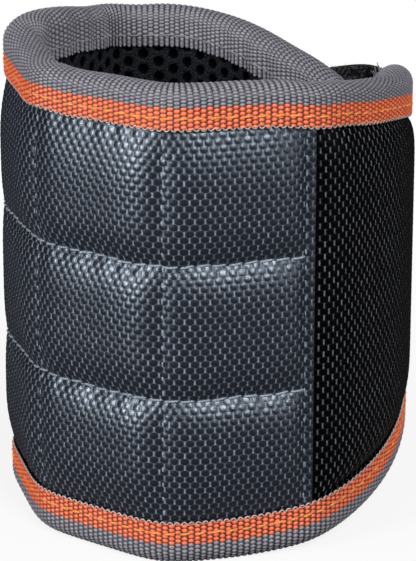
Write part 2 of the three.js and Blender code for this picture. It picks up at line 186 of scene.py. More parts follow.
class WristbandStrap(bpy.types.PropertyGroup):
    """The closing strap, its hook strip and the loop pile."""

    height: length("Height", "Height of the strap", 62.4)
    thickness: length("Thickness", "Thickness of the strap", 1.2)
    contact: length("Contact", "Length that lies on the loop pile", 31)
    root_reach: length("Root reach", "How far the strap runs on in the flap's direction", 13)
    landing_reach: length("Landing reach", "How far it runs in to lie along the pile", 9)
    corner: length("Corner", "Radius of the far corners", 9)
    seat: length("Seat", "Distance of the strap's middle from the wrap's cloth", 3.6)
    sewn_in: length("Sewn in", "How far its root reaches into the flap", 4)
    hook_margin: length("Hook margin", "Bare strap round the hook strip", 4)
    hook_pitch: length("Hook pitch", "Distance between hooks", 1.5)
    loop_margin: length("Loop margin", "Bare cloth round the loop pile", 3)
    clearance: length("Clearance", "Gap between layers", 0.3)


class WristbandColours(bpy.types.PropertyGroup):
    """Colours of the cloths, threads and magnets."""

    grey_weft: colour("Grey weft", "Dark yarn of the quilted panel", (0.0040, 0.0047, 0.0095))
    # The pale warp is partly the yarn's own tone and partly painted highlight, for the gloss its upright
    # yarns catch.
    grey_warp_and_glint: colour("Grey warp", "Pale yarn of the quilted panel", (0.156, 0.184, 0.236))
    grey_gap: colour("Grey gap", "Yarn between the floats of the quilted panel", (0.043, 0.050, 0.076))
    black_weft: colour("Black weft", "Dark yarn of the flap and wrap", (0.0010, 0.0010, 0.0012))
    # The black cloth's pale warp is partly the yarn's own tone and partly painted highlight, for the gloss
    # its upright yarns catch.
    black_warp_and_glint: colour("Black warp", "Pale yarn of the flap and wrap", (0.14, 0.145, 0.165))
    black_gap: colour("Black gap", "Yarn between the floats of the flap and wrap", (0.008, 0.008, 0.0095))
    grey_tape: colour("Grey tape", "Rim tape", (0.246, 0.241, 0.282))
    orange_tape: colour("Orange tape", "Stripe of the rim tape", (0.98, 0.175, 0.062))
    grey_thread: colour("Grey thread", "Seams of the quilt", (0.31, 0.36, 0.43))
    lining_thread: colour("Lining thread", "Seam on the rim tape's inside", (0.27, 0.27, 0.29))
    orange_thread: colour("Orange thread", "Seam of the rim tape", (0.98, 0.38, 0.07))
    fringe: colour("Fringe", "Loose loops along the outer edge of the rim tape", (0.62, 0.46, 0.42))
    mesh_lining: colour("Mesh lining", "Web of the lining", (0.0040, 0.0045, 0.0058))
    pile: colour("Pile", "Strap and loop pile", (0.012, 0.012, 0.0135))
    hair: colour("Hair", "Raised hairs of the strap", (0.050, 0.053, 0.062))
    foam: colour("Foam", "Padding", (0.05, 0.05, 0.055))
    backing: colour("Backing", "Pocket backing", (0.02, 0.02, 0.024))
    plating: colour("Plating", "Magnets", (0.62, 0.63, 0.66))


class WristbandStage(bpy.types.PropertyGroup):
    """Camera, lamps and room."""

    camera_place: spot("Camera place", "Where the camera stands", (0.4 * MM, -516.6 * MM, 216.0 * MM))
    camera_pitch: angle("Camera pitch", "How far the camera looks down", 18.55)
    focal_length: number("Focal length", "Lens in millimetres on a 36 mm sensor", 186.1)
    key_power: number("Key", "Power of the key lamp in watts", 4.6)
    key_size: length("Key size", "Width of the key lamp", 260)
    key_place: spot("Key place", "Where the key lamp stands", (-0.60, -0.46, 0.29))
    top_power: number("Top", "Power of the overhead lamp in watts", 3.5)
    top_size: length("Top size", "Width of the overhead lamp", 240)
    top_place: spot("Top place", "Where the overhead lamp stands", (0.24, -0.50, 0.52))
    fill_power: number("Fill", "Power of the fill lamp in watts", 0.8)
    fill_size: length("Fill size", "Width of the fill lamp", 500)
    fill_place: spot("Fill place", "Where the fill lamp stands", (0.68, -0.38, 0.24))
    room_light: number("Room", "Strength of the room's light", 0.08)


GROUPS = {
    "wristband_sizes": WristbandSizes,
    "wristband_cloth": WristbandCloth,
    "wristband_strap": WristbandStrap,
    "wristband_colours": WristbandColours,
    "wristband_stage": WristbandStage,
}


# The band's plan

# Short and long periods of the unevenness in the rim, the tape's inner leg, the row seams and the puckers.
RIM_PERIODS = (21 * MM, 57 * MM)
LEG_PERIODS = (8.3 * MM, 41 * MM)
SEAM_PERIODS = (13 * MM, 47 * MM)
PUCKER_PERIODS = (4.9 * MM, 23 * MM)

# The rim waves by this share of what the tape's inner leg does.
RIM_SHARE = 0.5

# Columns are counted from the flap's seam.
THIRD_COLUMN = 3

# Where the corner behind the third column is fullest, and over what share of a column that fades.
CORNER_PLACE = 6 * MM
CORNER_REACH = 0.5

# Samples of an eased bend in its softness, and how many times the softness it reaches.
EASED_SAMPLES = 20
EASED_REACH = 4


def smooth_step(value, low, high):
    """0 at low and before it, 1 at high and past it, smooth between; low may be the larger."""
    t = np.clip((value - low) / (high - low), 0, 1)
    return t * t * (3 - 2 * t)


def ripple(place, short, long):
    """An uneven wave of height 1 with a short and a long period."""
    return np.sin(2 * math.pi * place / short + 2 * np.sin(2 * math.pi * place / long))


def bell(place, middle, reach):
    """1 at the middle, fading to 0 over the reach on both sides."""
    return np.exp(-(((place - middle) / reach) ** 2))


class BendPath:
    """A plan path of straight stretches and arcs that all turn to the right."""

    def __init__(self, heading, stretches):
        place = [0.0, 0.0, heading]
        self.starts = []
        self.bends = []
        self.places = []
        run = 0.0
        for stretch, turn in stretches:
            self.starts.append(run)
            self.bends.append(-turn / stretch)
            self.places.append(list(place))
            middle = place[2] - turn / 2
            chord = stretch * np.sinc(turn / (2 * math.pi))
            place[0] += chord * math.cos(middle)
            place[1] += chord * math.sin(middle)
            place[2] -= turn
            run += stretch
        self.length = run
        self.starts = np.array(self.starts)
        self.bends = np.array(self.bends)
        self.places = np.array(self.places)

    def locate(self, s):
        """Plan position and heading at places along the path."""
        span = np.clip(np.searchsorted(self.starts, s, side="right") - 1, 0, len(self.starts) - 1)
        run = s - self.starts[span]
        turn = self.bends[span] * run
        chord = run * np.sinc(turn / (2 * math.pi))
        start = self.places[span]
        middle = start[..., 2] + turn / 2
        x = start[..., 0] + chord * np.cos(middle)
        y = start[..., 1] + chord * np.sin(middle)
        return x, y, start[..., 2] + turn


class SoftPath:
    """A bend path with its corners eased, as padded cloth bends."""

    def __init__(self, bends, softness):
        step = softness / EASED_SAMPLES
        beyond = EASED_REACH * softness
        self.length = bends.length
        self.s = np.arange(-2 * beyond, self.length + 2 * beyond, step)
        x, y, _ = bends.locate(self.s)
        reach = np.arange(-beyond, beyond + step / 2, step)
        weight = np.exp(-0.5 * (reach / softness) ** 2)
        weight /= weight.sum()
        edge = len(reach) // 2
        self.x = np.convolve(x, weight, mode="valid")
        self.y = np.convolve(y, weight, mode="valid")
        self.s = self.s[edge:-edge]
        self.heading = np.unwrap(np.arctan2(np.gradient(self.y), np.gradient(self.x)))

    def locate(self, s):
        """Plan position and heading at places along the path."""
        return tuple(np.interp(s, self.s, values) for values in (self.x, self.y, self.heading))

    def point(self, s, n, z):
        """Points s along the band, n outwards from the cloth's face and z up."""
        x, y, heading = self.locate(np.asarray(s, float))
        px, py, pz = np.broadcast_arrays(x - n * np.sin(heading), y + n * np.cos(heading), z)
        return np.stack([px, py, pz], axis=-1)

    def outwards(self, s):
        """Directions out of the cloth's face."""
        heading = self.locate(np.asarray(s, float))[2]
        return np.stack([-np.sin(heading), np.cos(heading), np.zeros_like(heading)], axis=-1)


class BandPlan:
    """Where the seams, rims and layers lie."""

    def __init__(self, sizes):
        self.sizes = sizes
        self.flap_seam = sizes.flap_length
        columns = len(sizes.column_bends) + 1
        self.seams = [self.flap_seam + k * sizes.column_width for k in range(columns + 1)]
        self.wrap_seam = self.seams[-1]
        heading = sizes.front_heading + sizes.flap_seam_bend + sizes.flap_turn
        bends = BendPath(heading, self.stretches())
        x, y, turned = bends.locate(np.array(self.flap_seam))
        anchor = np.array([x - sizes.tape_face * np.sin(turned), y + sizes.tape_face * np.cos(turned)])
        bends.places[:, :2] += HINGES["flap_open"][:2] - anchor
        self.path = SoftPath(bends, sizes.softness)
        self.length = self.path.length
        top = sizes.band_height - sizes.tape_outside
        self.low_seam = sizes.tape_outside + sizes.lowest_row
        self.high_seam = (top + self.low_seam) / 2
        # The rim tapes and the lining change pieces at the seam behind the third column.
        self.join = self.seams[THIRD_COLUMN]

    def stretches(self):
        """Length and turn of each stretch, from the flap's end to the tongue's."""
        sizes = self.sizes
        bends = [sizes.flap_seam_bend, *(math.radians(b) for b in sizes.column_bends), sizes.wrap_seam_bend]
        arcs = [sizes.bend_radius * bend for bend in bends]
        found = [(sizes.flap_length - arcs[0] / 2, sizes.flap_turn), (arcs[0], bends[0])]
        for k in range(len(bends) - 1):
            found.append((sizes.column_width - (arcs[k] + arcs[k + 1]) / 2, 0.0))
            found.append((arcs[k + 1], bends[k + 1]))
        found.append((sizes.wrap_back, 0.0))
        found.append((sizes.wrap_radius * sizes.wrap_turn, sizes.wrap_turn))
        found.append((sizes.tongue_length, 0.0))
        return found

    def flap_taper(self, s):
        """How far the rims have drawn in towards the flap's end, where it is 1."""
        start = self.flap_seam + self.sizes.flap_run_in
        return np.clip((start - s) / start, 0, None) ** self.sizes.taper_power

    def tongue_taper(self, s):
        """How far the rims have drawn in towards the tongue's end, where it is 1."""
        start = self.wrap_seam + self.sizes.tongue_run_in
        return np.clip((s - start) / (self.length - start), 0, None) ** self.sizes.taper_power

    def rim(self, s, up):
        """Height of the upper rim (up = 1) or the lower one (up = -1)."""
        sizes = self.sizes
        drop = sizes.flap_top_drop if up > 0 else sizes.flap_bottom_rise
        drawn_in = drop * self.flap_taper(s) + sizes.tongue_drop * self.tongue_taper(s)
        if up < 0:
            return drawn_in
        uneven = RIM_SHARE * sizes.rim_wave * ripple(s, *RIM_PERIODS)
        sag = sizes.rear_sag * bell(s, self.wrap_seam, sizes.column_width)
        rise = sizes.corner_rise * self.at_corner(s)
        return sizes.band_height - drawn_in + uneven - sag + rise

    def at_corner(self, s):
        """1 just behind the bend at the third column, and 0 away from it."""
        return bell(s, self.join + CORNER_PLACE, CORNER_REACH * self.sizes.column_width)

    def squash(self, s, up):
        """How far the tape's roll is pressed down."""
        if up < 0:
            return np.zeros_like(s)
        sizes = self.sizes
        at_end = bell(s, sizes.end_puff_place, sizes.end_puff_reach)
        return sizes.roll_squash - sizes.corner_puff * self.at_corner(s) - sizes.end_puff * at_end

    def slack(self, s):
        """How far the rim tape's inner leg stands off the lining."""
        return self.sizes.rim_wave * ripple(s, *LEG_PERIODS)

    def face(self, s, up):
        """Height of the tape's edge on the outside."""
        return self.rim(s, up) - up * self.sizes.tape_outside


# Meshes

# Faces that meet at more than this turn keep a sharp edge.
SHARP_EDGE = math.radians(80)


def loft(name, rings, along, around, relief=None, extra=None):
    """A closed body from rings of points, with a UV map of real lengths and point attributes."""
    count, size, _ = rings.shape
    ring, k = np.meshgrid(np.arange(count - 1), np.arange(size), indexing="ij")
    corners = [(ring, k), (ring + 1, k), (ring + 1, k + 1), (ring, k + 1)]
    quads = np.stack([a * size + b % size for a, b in corners], axis=-1).reshape(-1, 4)
    first = np.arange(size)
    last = (count - 1) * size + first[::-1]
    around = np.broadcast_to(around, (count, size))
    closing = np.append(around, around[:, -1:] + np.linalg.norm(rings[0, -1] - rings[0, 0]), axis=1)
    quad_uv = np.stack([np.stack([along[a], closing[a, b]], -1) for a, b in corners], axis=2).reshape(-1, 2)
    cap_uv = np.concatenate(
        [
            np.stack([np.full(size, along[0]), around[0]], -1),
            np.stack([np.full(size, along[-1]), around[-1, ::-1]], -1),
        ]
    )
    points = rings.reshape(-1, 3)
    middle = points.mean(axis=0)
    a, b, c, d = (points[quads[:, j]] - middle for j in range(4))
    volume = np.einsum("ij,ij->", a, np.cross(b, c)) + np.einsum("ij,ij->", a, np.cross(c, d))
    faces = [*quads.tolist(), first.tolist(), last.tolist()]
    mesh = bpy.data.meshes.new(name)
    mesh.from_pydata(points.tolist(), [], faces)
    layer = mesh.uv_layers.new(name="cloth")
    layer.data.foreach_set("uv", np.concatenate([quad_uv, cap_uv]).astype(np.float32).ravel())
    values = {"relief": np.ones((count, size)) if relief is None else relief, **(extra or {})}
    for title, value in values.items():
        attribute = mesh.attributes.new(title, "FLOAT", "POINT")
        attribute.data.foreach_set("value", np.broadcast_to(value, (count, size)).astype(np.float32).ravel())
    if volume < 0:
        mesh.flip_normals()
    mesh.shade_smooth()
    mesh.set_sharp_from_angle(angle=SHARP_EDGE)
    return add_object(name, mesh)


def add_object(name, data):
    """Puts a mesh, a light or a camera in the scene."""
    obj = bpy.data.objects.new(name, data)
    bpy.context.scene.collection.objects.link(obj)
    return obj


def steps(low, high, step, per_step):
    """Places from low to high that fall on whole shares of a repeating step."""
    share_of_step = step / per_step
    inside = np.arange(math.ceil(low / share_of_step), math.floor(high / share_of_step) + 1) * share_of_step
    inside = inside[(inside > low + share_of_step / 4) & (inside < high - share_of_step / 4)]
    return np.concatenate([[low], inside, [high]])


def fitted(rows, low, low_kept, high_kept, high):
    """Rows at their true heights between the kept limits, pressed together beyond them."""
    low, low_kept, high_kept, high = (np.asarray(x)[:, None] for x in (low, low_kept, high_kept, high))
    z = np.broadcast_to(rows, (len(low), len(rows)))
    under = low + (z - rows[0]) * (low_kept - low) / (low_kept - rows[0])
    over = high - (rows[-1] - z) * (high - high_kept) / (rows[-1] - high_kept)
    return np.where(z < low_kept, under, np.where(z > high_kept, over, z))


def cloth_rows(low_edge, high_edge, under_tape, kept, step, per_step):
    """Heights of a cloth's rows at each place along it, and which of them show between the tapes."""
    rows = steps(low_edge.min() - 2 * under_tape, high_edge.max() + 2 * under_tape, step, per_step)
    z = fitted(rows, low_edge - under_tape, low_edge - kept, high_edge + kept, high_edge + under_tape)
    return z, (z > low_edge[:, None] - kept) & (z < high_edge[:, None] + kept)


def points_at(places, run, points):
    """Points at places along a line of points, whose lengths so far are in run."""
    return np.stack([np.interp(places, run, part) for part in points.T], -1)


def finish_piece(obj, material, nodes=()):
    """Gives a piece its finish and its slot, and hides the solids it stands for."""
    obj.data.materials.clear()
    obj.data.materials.append(material)
    if nodes:
        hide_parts(*nodes)
    return obj


# Surfaces of the cloths

# Half of a weft float's width and height, and of a warp float's, as shares of the weave's pitch and row.
FLOAT_WIDTH = 0.45
FLOAT_HEIGHT = 0.61
WARP_WIDTH = 0.07
WARP_HEIGHT = 0.42

# The power that flattens a weft float's top, and the relief of a panel's plain edge under the tapes.
FLOAT_CROWN = 0.6
PLAIN_HEIGHT = 0.5

# How much wider a hole's dome is than the hole, and the heights of the dome that its rim lies between.
HOLE_SPREAD = 1.15
HOLE_RIM = (0.1, 0.7)

# Powers of a cell's fall towards its row seams, towards a tape and towards its upright seams.
PILLOW_ROUNDNESS = 4.0
ROUNDNESS_AT_TAPE = 2.2
UPRIGHT_ROUNDNESS = 5

# Powers of a crowned panel's fall along the band and up it.
CROWN_ALONG = 8
CROWN_UP = 14

# Over what share of a column the third bend stretches the row seams out.
TAUT_REACH = 0.6

# Height of the hem's fold, and the share of the hem that keeps it.
HEM_FOLD = 0.45 * MM
HEM_KEPT = 0.65


def dome_relief(a, b, pitch_a, pitch_b, half_a, half_b):
    """Round domes on a staggered lattice, from 0 to 1, and the place along a of each one's middle."""
    row = np.floor(b / pitch_b)
    height = np.zeros(np.broadcast(a, b).shape)
    middle = np.zeros_like(height)
    for step in (0, 1):
        stagger = 0.5 * ((row + step) % 2)
        found = (np.round(a / pitch_a - stagger) + stagger) * pitch_a
        apart = ((a - found) / half_a) ** 2 + ((b - (row + step) * pitch_b) / half_b) ** 2
        dome = np.sqrt(np.clip(1 - apart, 0, 1))
        middle = np.where(dome >= height, found, middle)
        height = np.maximum(dome, height)
    return height, middle


def weave_relief(s, z, cloth):
    """Weft floats of a coarse weave, as flat-topped domes in staggered rows."""
    pitch, row = cloth.weave_pitch, cloth.weave_row
    return dome_relief(s, z, pitch, row, FLOAT_WIDTH * pitch, FLOAT_HEIGHT * row)[0] ** FLOAT_CROWN


def hole_relief(s, z, cloth):
    """The lining's web, from 0 in a hole to 1 between holes, which stand in staggered columns."""
    pitch = cloth.hole_pitch
    radius = HOLE_SPREAD * cloth.hole_diameter / 2
    hole, _ = dome_relief(z, s, pitch, cloth.hole_column, radius, radius)
    return 1 - smooth_step(hole, *HOLE_RIM)


def swell(u, v):
    """How far a padded panel swells, from 0 at its edges to 1; it rises sharply from under the tapes."""
    return (1 - np.abs(u) ** CROWN_ALONG) * (1 - np.abs(v) ** CROWN_UP)


def between(value, edges):
    """Where a value lies between the two edges round it, from -1 to 1."""
    k = np.clip(np.searchsorted(edges, value, side="right") - 1, 0, len(edges) - 2)
    edges = np.asarray(edges)
    return np.clip(2 * (value - edges[k]) / (edges[k + 1] - edges[k]) - 1, -1, 1)


def seam_line(plan, s, level):
    """A row seam's height, as unevenly as it was sewn."""
    return level + plan.sizes.wander * ripple(s + level, *SEAM_PERIODS)


def quilt_height(plan, s, z):
    """How far the quilted panel stands out: padded cells between seams, and a folded hem at both ends."""
    sizes = plan.sizes
    columns = [plan.flap_seam + sizes.hem, *plan.seams[1:-1], plan.wrap_seam - sizes.hem]
    u = np.abs(between(s, columns))
    sewn = [seam_line(plan, s, level) for level in (plan.low_seam, plan.high_seam)]
    lines = [plan.face(s, -1), *sewn, plan.face(s, 1)]
    v = np.ones(np.broadcast(s, z).shape)
    by_tape = np.zeros(v.shape, bool)
    for row, (low, high) in enumerate(zip(lines, lines[1:])):
        part = 2 * (z - low) / (high - low) - 1
        v = np.minimum(v, np.abs(part))
        # The lower half of row 0 and the upper half of row 2 lie by a tape.
        by_tape |= (part * (row - 1) > 0) & (np.abs(part) <= 1)
    by_tape |= (z <= lines[0]) | (z >= lines[-1])
    roundness = np.where(by_tape, ROUNDNESS_AT_TAPE, PILLOW_ROUNDNESS)
    # An edge stitch holds the cloth right down, and an upright seam only by its crease.
    at_hem = (s < (columns[0] + columns[1]) / 2) | (s > (columns[-2] + columns[-1]) / 2)
    held = np.where(at_hem, 1.0, sizes.crease)
    # Puckers stand highest a millimetre from their seam.
    from_seam = (1 - v) * sizes.lowest_row / 2 / MM
    gather = sizes.pucker * from_seam * np.exp(1 - from_seam) * ripple(s, *PUCKER_PERIODS)
    taut = sizes.tautness * bell(s, plan.join, TAUT_REACH * sizes.column_width)
    taut = np.where(by_tape, 0, taut)
    fall = u**UPRIGHT_ROUNDNESS
    puff = sizes.pillow * (1 - (1 - taut) * v**roundness) * (1 - held * fall) + gather * (1 - fall)
    from_edge = np.minimum(s - plan.flap_seam, plan.wrap_seam - s)
    return puff + HEM_FOLD * (1 - smooth_step(from_edge, HEM_KEPT * sizes.hem, sizes.hem))


def sheet_rings(plan, s, z, outer, inner_n, inner_count):
    """Rings of a sheet: its fine outer face up, then its plain inner face down."""
    share_down = np.linspace(1, 0, inner_count)
    back_z = z[:, :1] + (z[:, -1:] - z[:, :1]) * share_down
    front = plan.path.point(s[:, None], outer, z)
    back = plan.path.point(s[:, None], inner_n(s[:, None], back_z), back_z)
    return np.concatenate([front, back], axis=1)


def around_lengths(ring):
    """Lengths so far along a line of points."""
    return np.concatenate([[0], np.cumsum(np.linalg.norm(np.diff(ring, axis=0), axis=1))])


def padded_ends(front, back_count):
    """Values of the outer face, with 0 for the points of the inner one."""
    return np.concatenate([front, np.zeros((len(front), back_count))], axis=1)


# Materials

# Grains on a metre: along and across a cloth, or in all directions.
YARN_GRAIN = (700, 1700, 1)
FIBRE_GRAIN = (2500, 16000, 1)
BEAD_GRAIN = (800, 1250, 1)
TAPE_FIBRE_GRAIN = (3000, 15000, 1)
KNIT_GRAIN = (2600, 2600, 1)
CHECK_GRAIN = (1, 1, 1)
CHECKS = 2500.0
TWIST_GRAIN = (5000, 5000, 5000)
NAP_GRAIN = (1600, 1600, 1600)
FOAM_GRAIN = (1800, 1800, 1800)
WEAR_GRAIN = (900, 900, 900)

# Where a weft float and a warp float end, as shares of their half sizes, and the range a noise keeps to.
FLOAT_EDGE = (0.84, 1.04)
WARP_EDGE = (0.75, 1.25)
NOISE = (0.3, 0.7)

# Refractive indices of the cloths, which say how strongly they reflect, and the tint of nylon's gloss.
QUILT_INDEX = 1.6
FLAP_INDEX = 1.12
LINING_INDEX = 1.12
NAP_INDEX = 1.2
NYLON_GLOSS = (0.74, 0.86, 1.0, 1.0)


def add_node(tree, kind, settings=None, **inputs):
    """Adds a node. An input called _0, _1 and so on is found by its place, any other by its name."""
    node = tree.nodes.new(kind)
    for key, value in (settings or {}).items():
        setattr(node, key, value)
    for key, value in inputs.items():
        socket = node.inputs[int(key[1:])] if key[1:].isdigit() else node.inputs[key.replace("_", " ")]
        if isinstance(value, bpy.types.NodeSocket):
            tree.links.new(value, socket)
        else:
            socket.default_value = value
    return node


class Shader:
    """A material with one Principled shader and short ways to add nodes."""

    def __init__(self, name, **inputs):
        self.material = bpy.data.materials.new(name)
        self.material.use_nodes = True
        self.tree = self.material.node_tree
        self.tree.nodes.clear()
        self.body = add_node(self.tree, "ShaderNodeBsdfPrincipled", **inputs)
        add_node(self.tree, "ShaderNodeOutputMaterial", Surface=self.body.outputs[0])

    def link(self, source, target):
        self.tree.links.new(source, target)

    def node(self, kind, settings=None, **inputs):
        """The first output of a new node."""
        return add_node(self.tree, kind, settings, **inputs).outputs[0]

    def attribute(self, name):
        return add_node(self.tree, "ShaderNodeAttribute", {"attribute_name": name}).outputs["Fac"]

    def uv(self, scale):
        """Places on the cloth, in grains."""
        coordinates = self.node("ShaderNodeUVMap", {"uv_map": "cloth"})
        return self.node("ShaderNodeMapping", Vector=coordinates, Scale=scale)

    def place(self, scale):
        """Places in space, in grains."""
        coordinates = add_node(self.tree, "ShaderNodeTexCoord").outputs["Object"]
        return self.node("ShaderNodeMapping", Vector=coordinates, Scale=scale)

    def noise(self, vector, detail=2.0):
        return self.node("ShaderNodeTexNoise", Vector=vector, Scale=1.0, Detail=detail)

    def ramp(self, value, low, high, to_low, to_high):
        """A value's range from low to high, spread over the range from to_low to to_high."""
        ends = {"From_Min": low, "From_Max": high, "To_Min": to_low, "To_Max": to_high}
        return self.node("ShaderNodeMapRange", Value=value, **ends)

    def math(self, operation, a, b=0.0):
        return self.node("ShaderNodeMath", {"operation": operation}, _0=a, _1=b)

    def multiply(self, a, b):
        return self.math("MULTIPLY", a, b)

    def hypot(self, a, half_a, b, half_b):
        """Distance from the middle of an ellipse, 1 on its edge."""
        square_a = self.math("POWER", self.math("DIVIDE", a, half_a), 2.0)
        square_b = self.math("POWER", self.math("DIVIDE", b, half_b), 2.0)
        return self.math("SQRT", self.math("ADD", square_a, square_b))

    def parts(self, vector):
        """The first two parts of a vector."""
        node = add_node(self.tree, "ShaderNodeSeparateXYZ", Vector=vector)
        return node.outputs[0], node.outputs[1]

    def mix(self, factor, a, b, blend="MIX"):
        """Two colours mixed; a Mix node has its colours as inputs 6 and 7 and as output 2."""
        settings = {"data_type": "RGBA", "blend_type": blend}
        return add_node(self.tree, "ShaderNodeMix", settings, _0=factor, _6=a, _7=b).outputs[2]

    def tint(self, colour_value, brightness):
        """A colour made lighter or darker by a number."""
        grey = self.node("ShaderNodeCombineColor", _0=brightness, _1=brightness, _2=brightness)
        return self.mix(1.0, colour_value, grey, "MULTIPLY")

    def bump(self, height, strength, distance):
        normal = self.node("ShaderNodeBump", Strength=strength, Distance=distance, Height=height)
        self.link(normal, self.body.inputs["Normal"])

    def colour(self, value):
        self.link(value, self.body.inputs["Base Color"])

    def roughness(self, value):
        self.link(value, self.body.inputs["Roughness"])

    def grained(self, base, grain, shades, roughness, strength, depth):
        """Colour, roughness and bump from one grain, by the ends of two ramps and the bump's height."""
        self.colour(self.tint(base, self.ramp(grain, *shades)))
        self.roughness(self.ramp(grain, *roughness))
        self.bump(grain, strength, depth)
        return self.material


def nylon(name, weft, warp, gap, index):
    """Coarse woven nylon: shiny dark weft floats in a net of gaps, and a pale warp float between two, pale
    partly from the yarn's own tone and partly from painted highlight for the gloss of its upright yarns.
    """
    cloth = bpy.context.scene.wristband_cloth
    shader = Shader(name, IOR=index, Specular_IOR_Level=1.0, Specular_Tint=NYLON_GLOSS)
    weave = shader.uv((1 / cloth.weave_pitch, 1 / cloth.weave_row, 1))
    across, up = shader.parts(weave)
    row = shader.math("ROUND", up)
    stagger = shader.multiply(shader.math("FLOORED_MODULO", row, 2.0), 0.5)
    from_float = shader.math("PINGPONG", shader.math("SUBTRACT", across, stagger), 0.5)
    from_row = shader.math("ABSOLUTE", shader.math("SUBTRACT", up, row))
    from_warp = shader.math("SUBTRACT", 0.5, from_float)
    to_next_row = shader.math("SUBTRACT", 1.0, from_row)
    here = shader.hypot(from_float, FLOAT_WIDTH, from_row, FLOAT_HEIGHT)
    beyond = shader.hypot(from_warp, FLOAT_WIDTH, to_next_row, FLOAT_HEIGHT)
    on_weft = shader.ramp(shader.math("MINIMUM", here, beyond), *FLOAT_EDGE, 1.0, 0.0)
    sideways = shader.math("DIVIDE", from_warp, WARP_WIDTH)
    upwards = shader.math("DIVIDE", from_row, WARP_HEIGHT)
    on_warp = shader.ramp(shader.math("MAXIMUM", sideways, upwards), *WARP_EDGE, 1.0, 0.0)
    column = shader.math("FLOOR", shader.math("SUBTRACT", across, stagger))
    which = shader.node("ShaderNodeCombineXYZ", X=column, Y=row)
    uneven = shader.node("ShaderNodeTexWhiteNoise", {"noise_dimensions": "2D"}, Vector=which)
    # The warp's dashes, each lighter or darker at random; their paleness is partly painted highlight.
    dash_and_glint = shader.tint(warp, shader.ramp(uneven, 0.0, 1.0, 0.6, 1.4))
    yarns = shader.noise(shader.uv(YARN_GRAIN))
    fibres = shader.noise(shader.uv(FIBRE_GRAIN))
    floats = shader.mix(on_weft, gap, weft)
    woven = shader.mix(on_warp, floats, dash_and_glint)
    shader.colour(shader.tint(woven, shader.ramp(yarns, *NOISE, 0.55, 1.45)))
    dull = shader.ramp(on_weft, 0.0, 1.0, 0.6, 0.0)
    shader.roughness(shader.math("ADD", dull, shader.ramp(fibres, *NOISE, 0.25, 0.35)))
    shader.bump(fibres, 0.35, 0.06 * MM)
    return shader.material


def tape_cloth(name, grey, orange):
    """Ribbed tape of round beads, grey with an orange stripe."""
    shader = Shader(name, Specular_IOR_Level=0.8, Sheen_Weight=0.06, Sheen_Roughness=0.5)
    beads = shader.noise(shader.uv(BEAD_GRAIN))
    fibres = shader.noise(shader.uv(TAPE_FIBRE_GRAIN))
    stripe = shader.mix(shader.attribute("orange"), grey, orange)
    # Painted shade: the relief darkens the hollows between the beads, and the bead tops are painted a little
    # lighter.
    hollow_shade = shader.ramp(shader.attribute("relief"), 0.1, 0.85, 0.04, 1.15)
    light = shader.multiply(hollow_shade, shader.ramp(beads, *NOISE, 0.82, 1.18))
    shader.colour(shader.tint(stripe, light))
    shader.roughness(shader.ramp(fibres, *NOISE, 0.36, 0.52))
    shader.bump(fibres, 0.4, 0.06 * MM)
    return shader.material


def sewing_thread(name, base):
    """Twisted thread, mottled by its twist."""
    shader = Shader(name, Specular_IOR_Level=0.45, Sheen_Weight=0.15)
    twist = shader.noise(shader.place(TWIST_GRAIN), detail=1.0)
    return shader.grained(base, twist, (0.35, 0.65, 0.45, 1.25), (*NOISE, 0.4, 0.6), 0.5, 0.08 * MM)


def mesh_cloth(name, base):
    """Knitted mesh: a speckled web round holes that are painted black, as shade in them."""
    shader = Shader(name, IOR=LINING_INDEX)
    knit = shader.noise(shader.uv(KNIT_GRAIN), detail=3.0)
    # Painted shade: the colour falls to black in the holes, where shade lies.
    web_and_hole_shade = shader.ramp(shader.attribute("relief"), 0.3, 0.95, 0.0, 1.0)
    light = shader.multiply(web_and_hole_shade, shader.ramp(knit, 0.40, 0.66, 1.2, 8.5))
    shader.colour(shader.tint(base, light))
    shader.roughness(shader.ramp(knit, *NOISE, 0.55, 0.8))
    shader.bump(knit, 0.8, 0.2 * MM)
    return shader.material


def napped_cloth(name, base):
    """Brushed pile: dark, with pale specks from a noise that are painted highlight for its sheen."""
    shader = Shader(name, IOR=NAP_INDEX, Sheen_Weight=0.04, Sheen_Roughness=0.6)
    nap = shader.noise(shader.place(NAP_GRAIN), detail=4.0)
    # Painted highlight: the noise's high end makes pale specks for the sheen on the nap.
    return shader.grained(base, nap, (0.46, 0.66, 0.3, 6.0), (*NOISE, 0.75, 0.95), 0.9, 0.4 * MM)


def foam_sheet(name, base):
    """Open-celled foam."""
    shader = Shader(name, Specular_IOR_Level=0.3)
    cells = shader.node("ShaderNodeTexVoronoi", Vector=shader.place(FOAM_GRAIN), Scale=1.0)
    return shader.grained(base, cells, (0.0, 0.8, 0.6, 1.3), (0.0, 0.8, 0.8, 0.95), 0.5, 0.2 * MM)


def plain_cloth(name, base):
    """Thin plain weave."""
    shader = Shader(name, Specular_IOR_Level=0.3)
    threads = shader.node("ShaderNodeTexChecker", Vector=shader.uv(CHECK_GRAIN), Scale=CHECKS)
    shade = shader.node("ShaderNodeSeparateColor", Color=threads)
    return shader.grained(base, shade, (0.0, 1.0, 0.7, 1.2), (0.0, 1.0, 0.85, 0.7), 0.4, 0.1 * MM)


def plated_metal(name, base):
    """Bright plating with light wear."""
    shader = Shader(name, Metallic=1.0)
    wear = shader.noise(shader.place(WEAR_GRAIN), detail=4.0)
    return shader.grained(base, wear, (*NOISE, 0.9, 1.05), (*NOISE, 0.18, 0.34), 0.08, 0.1 * MM)


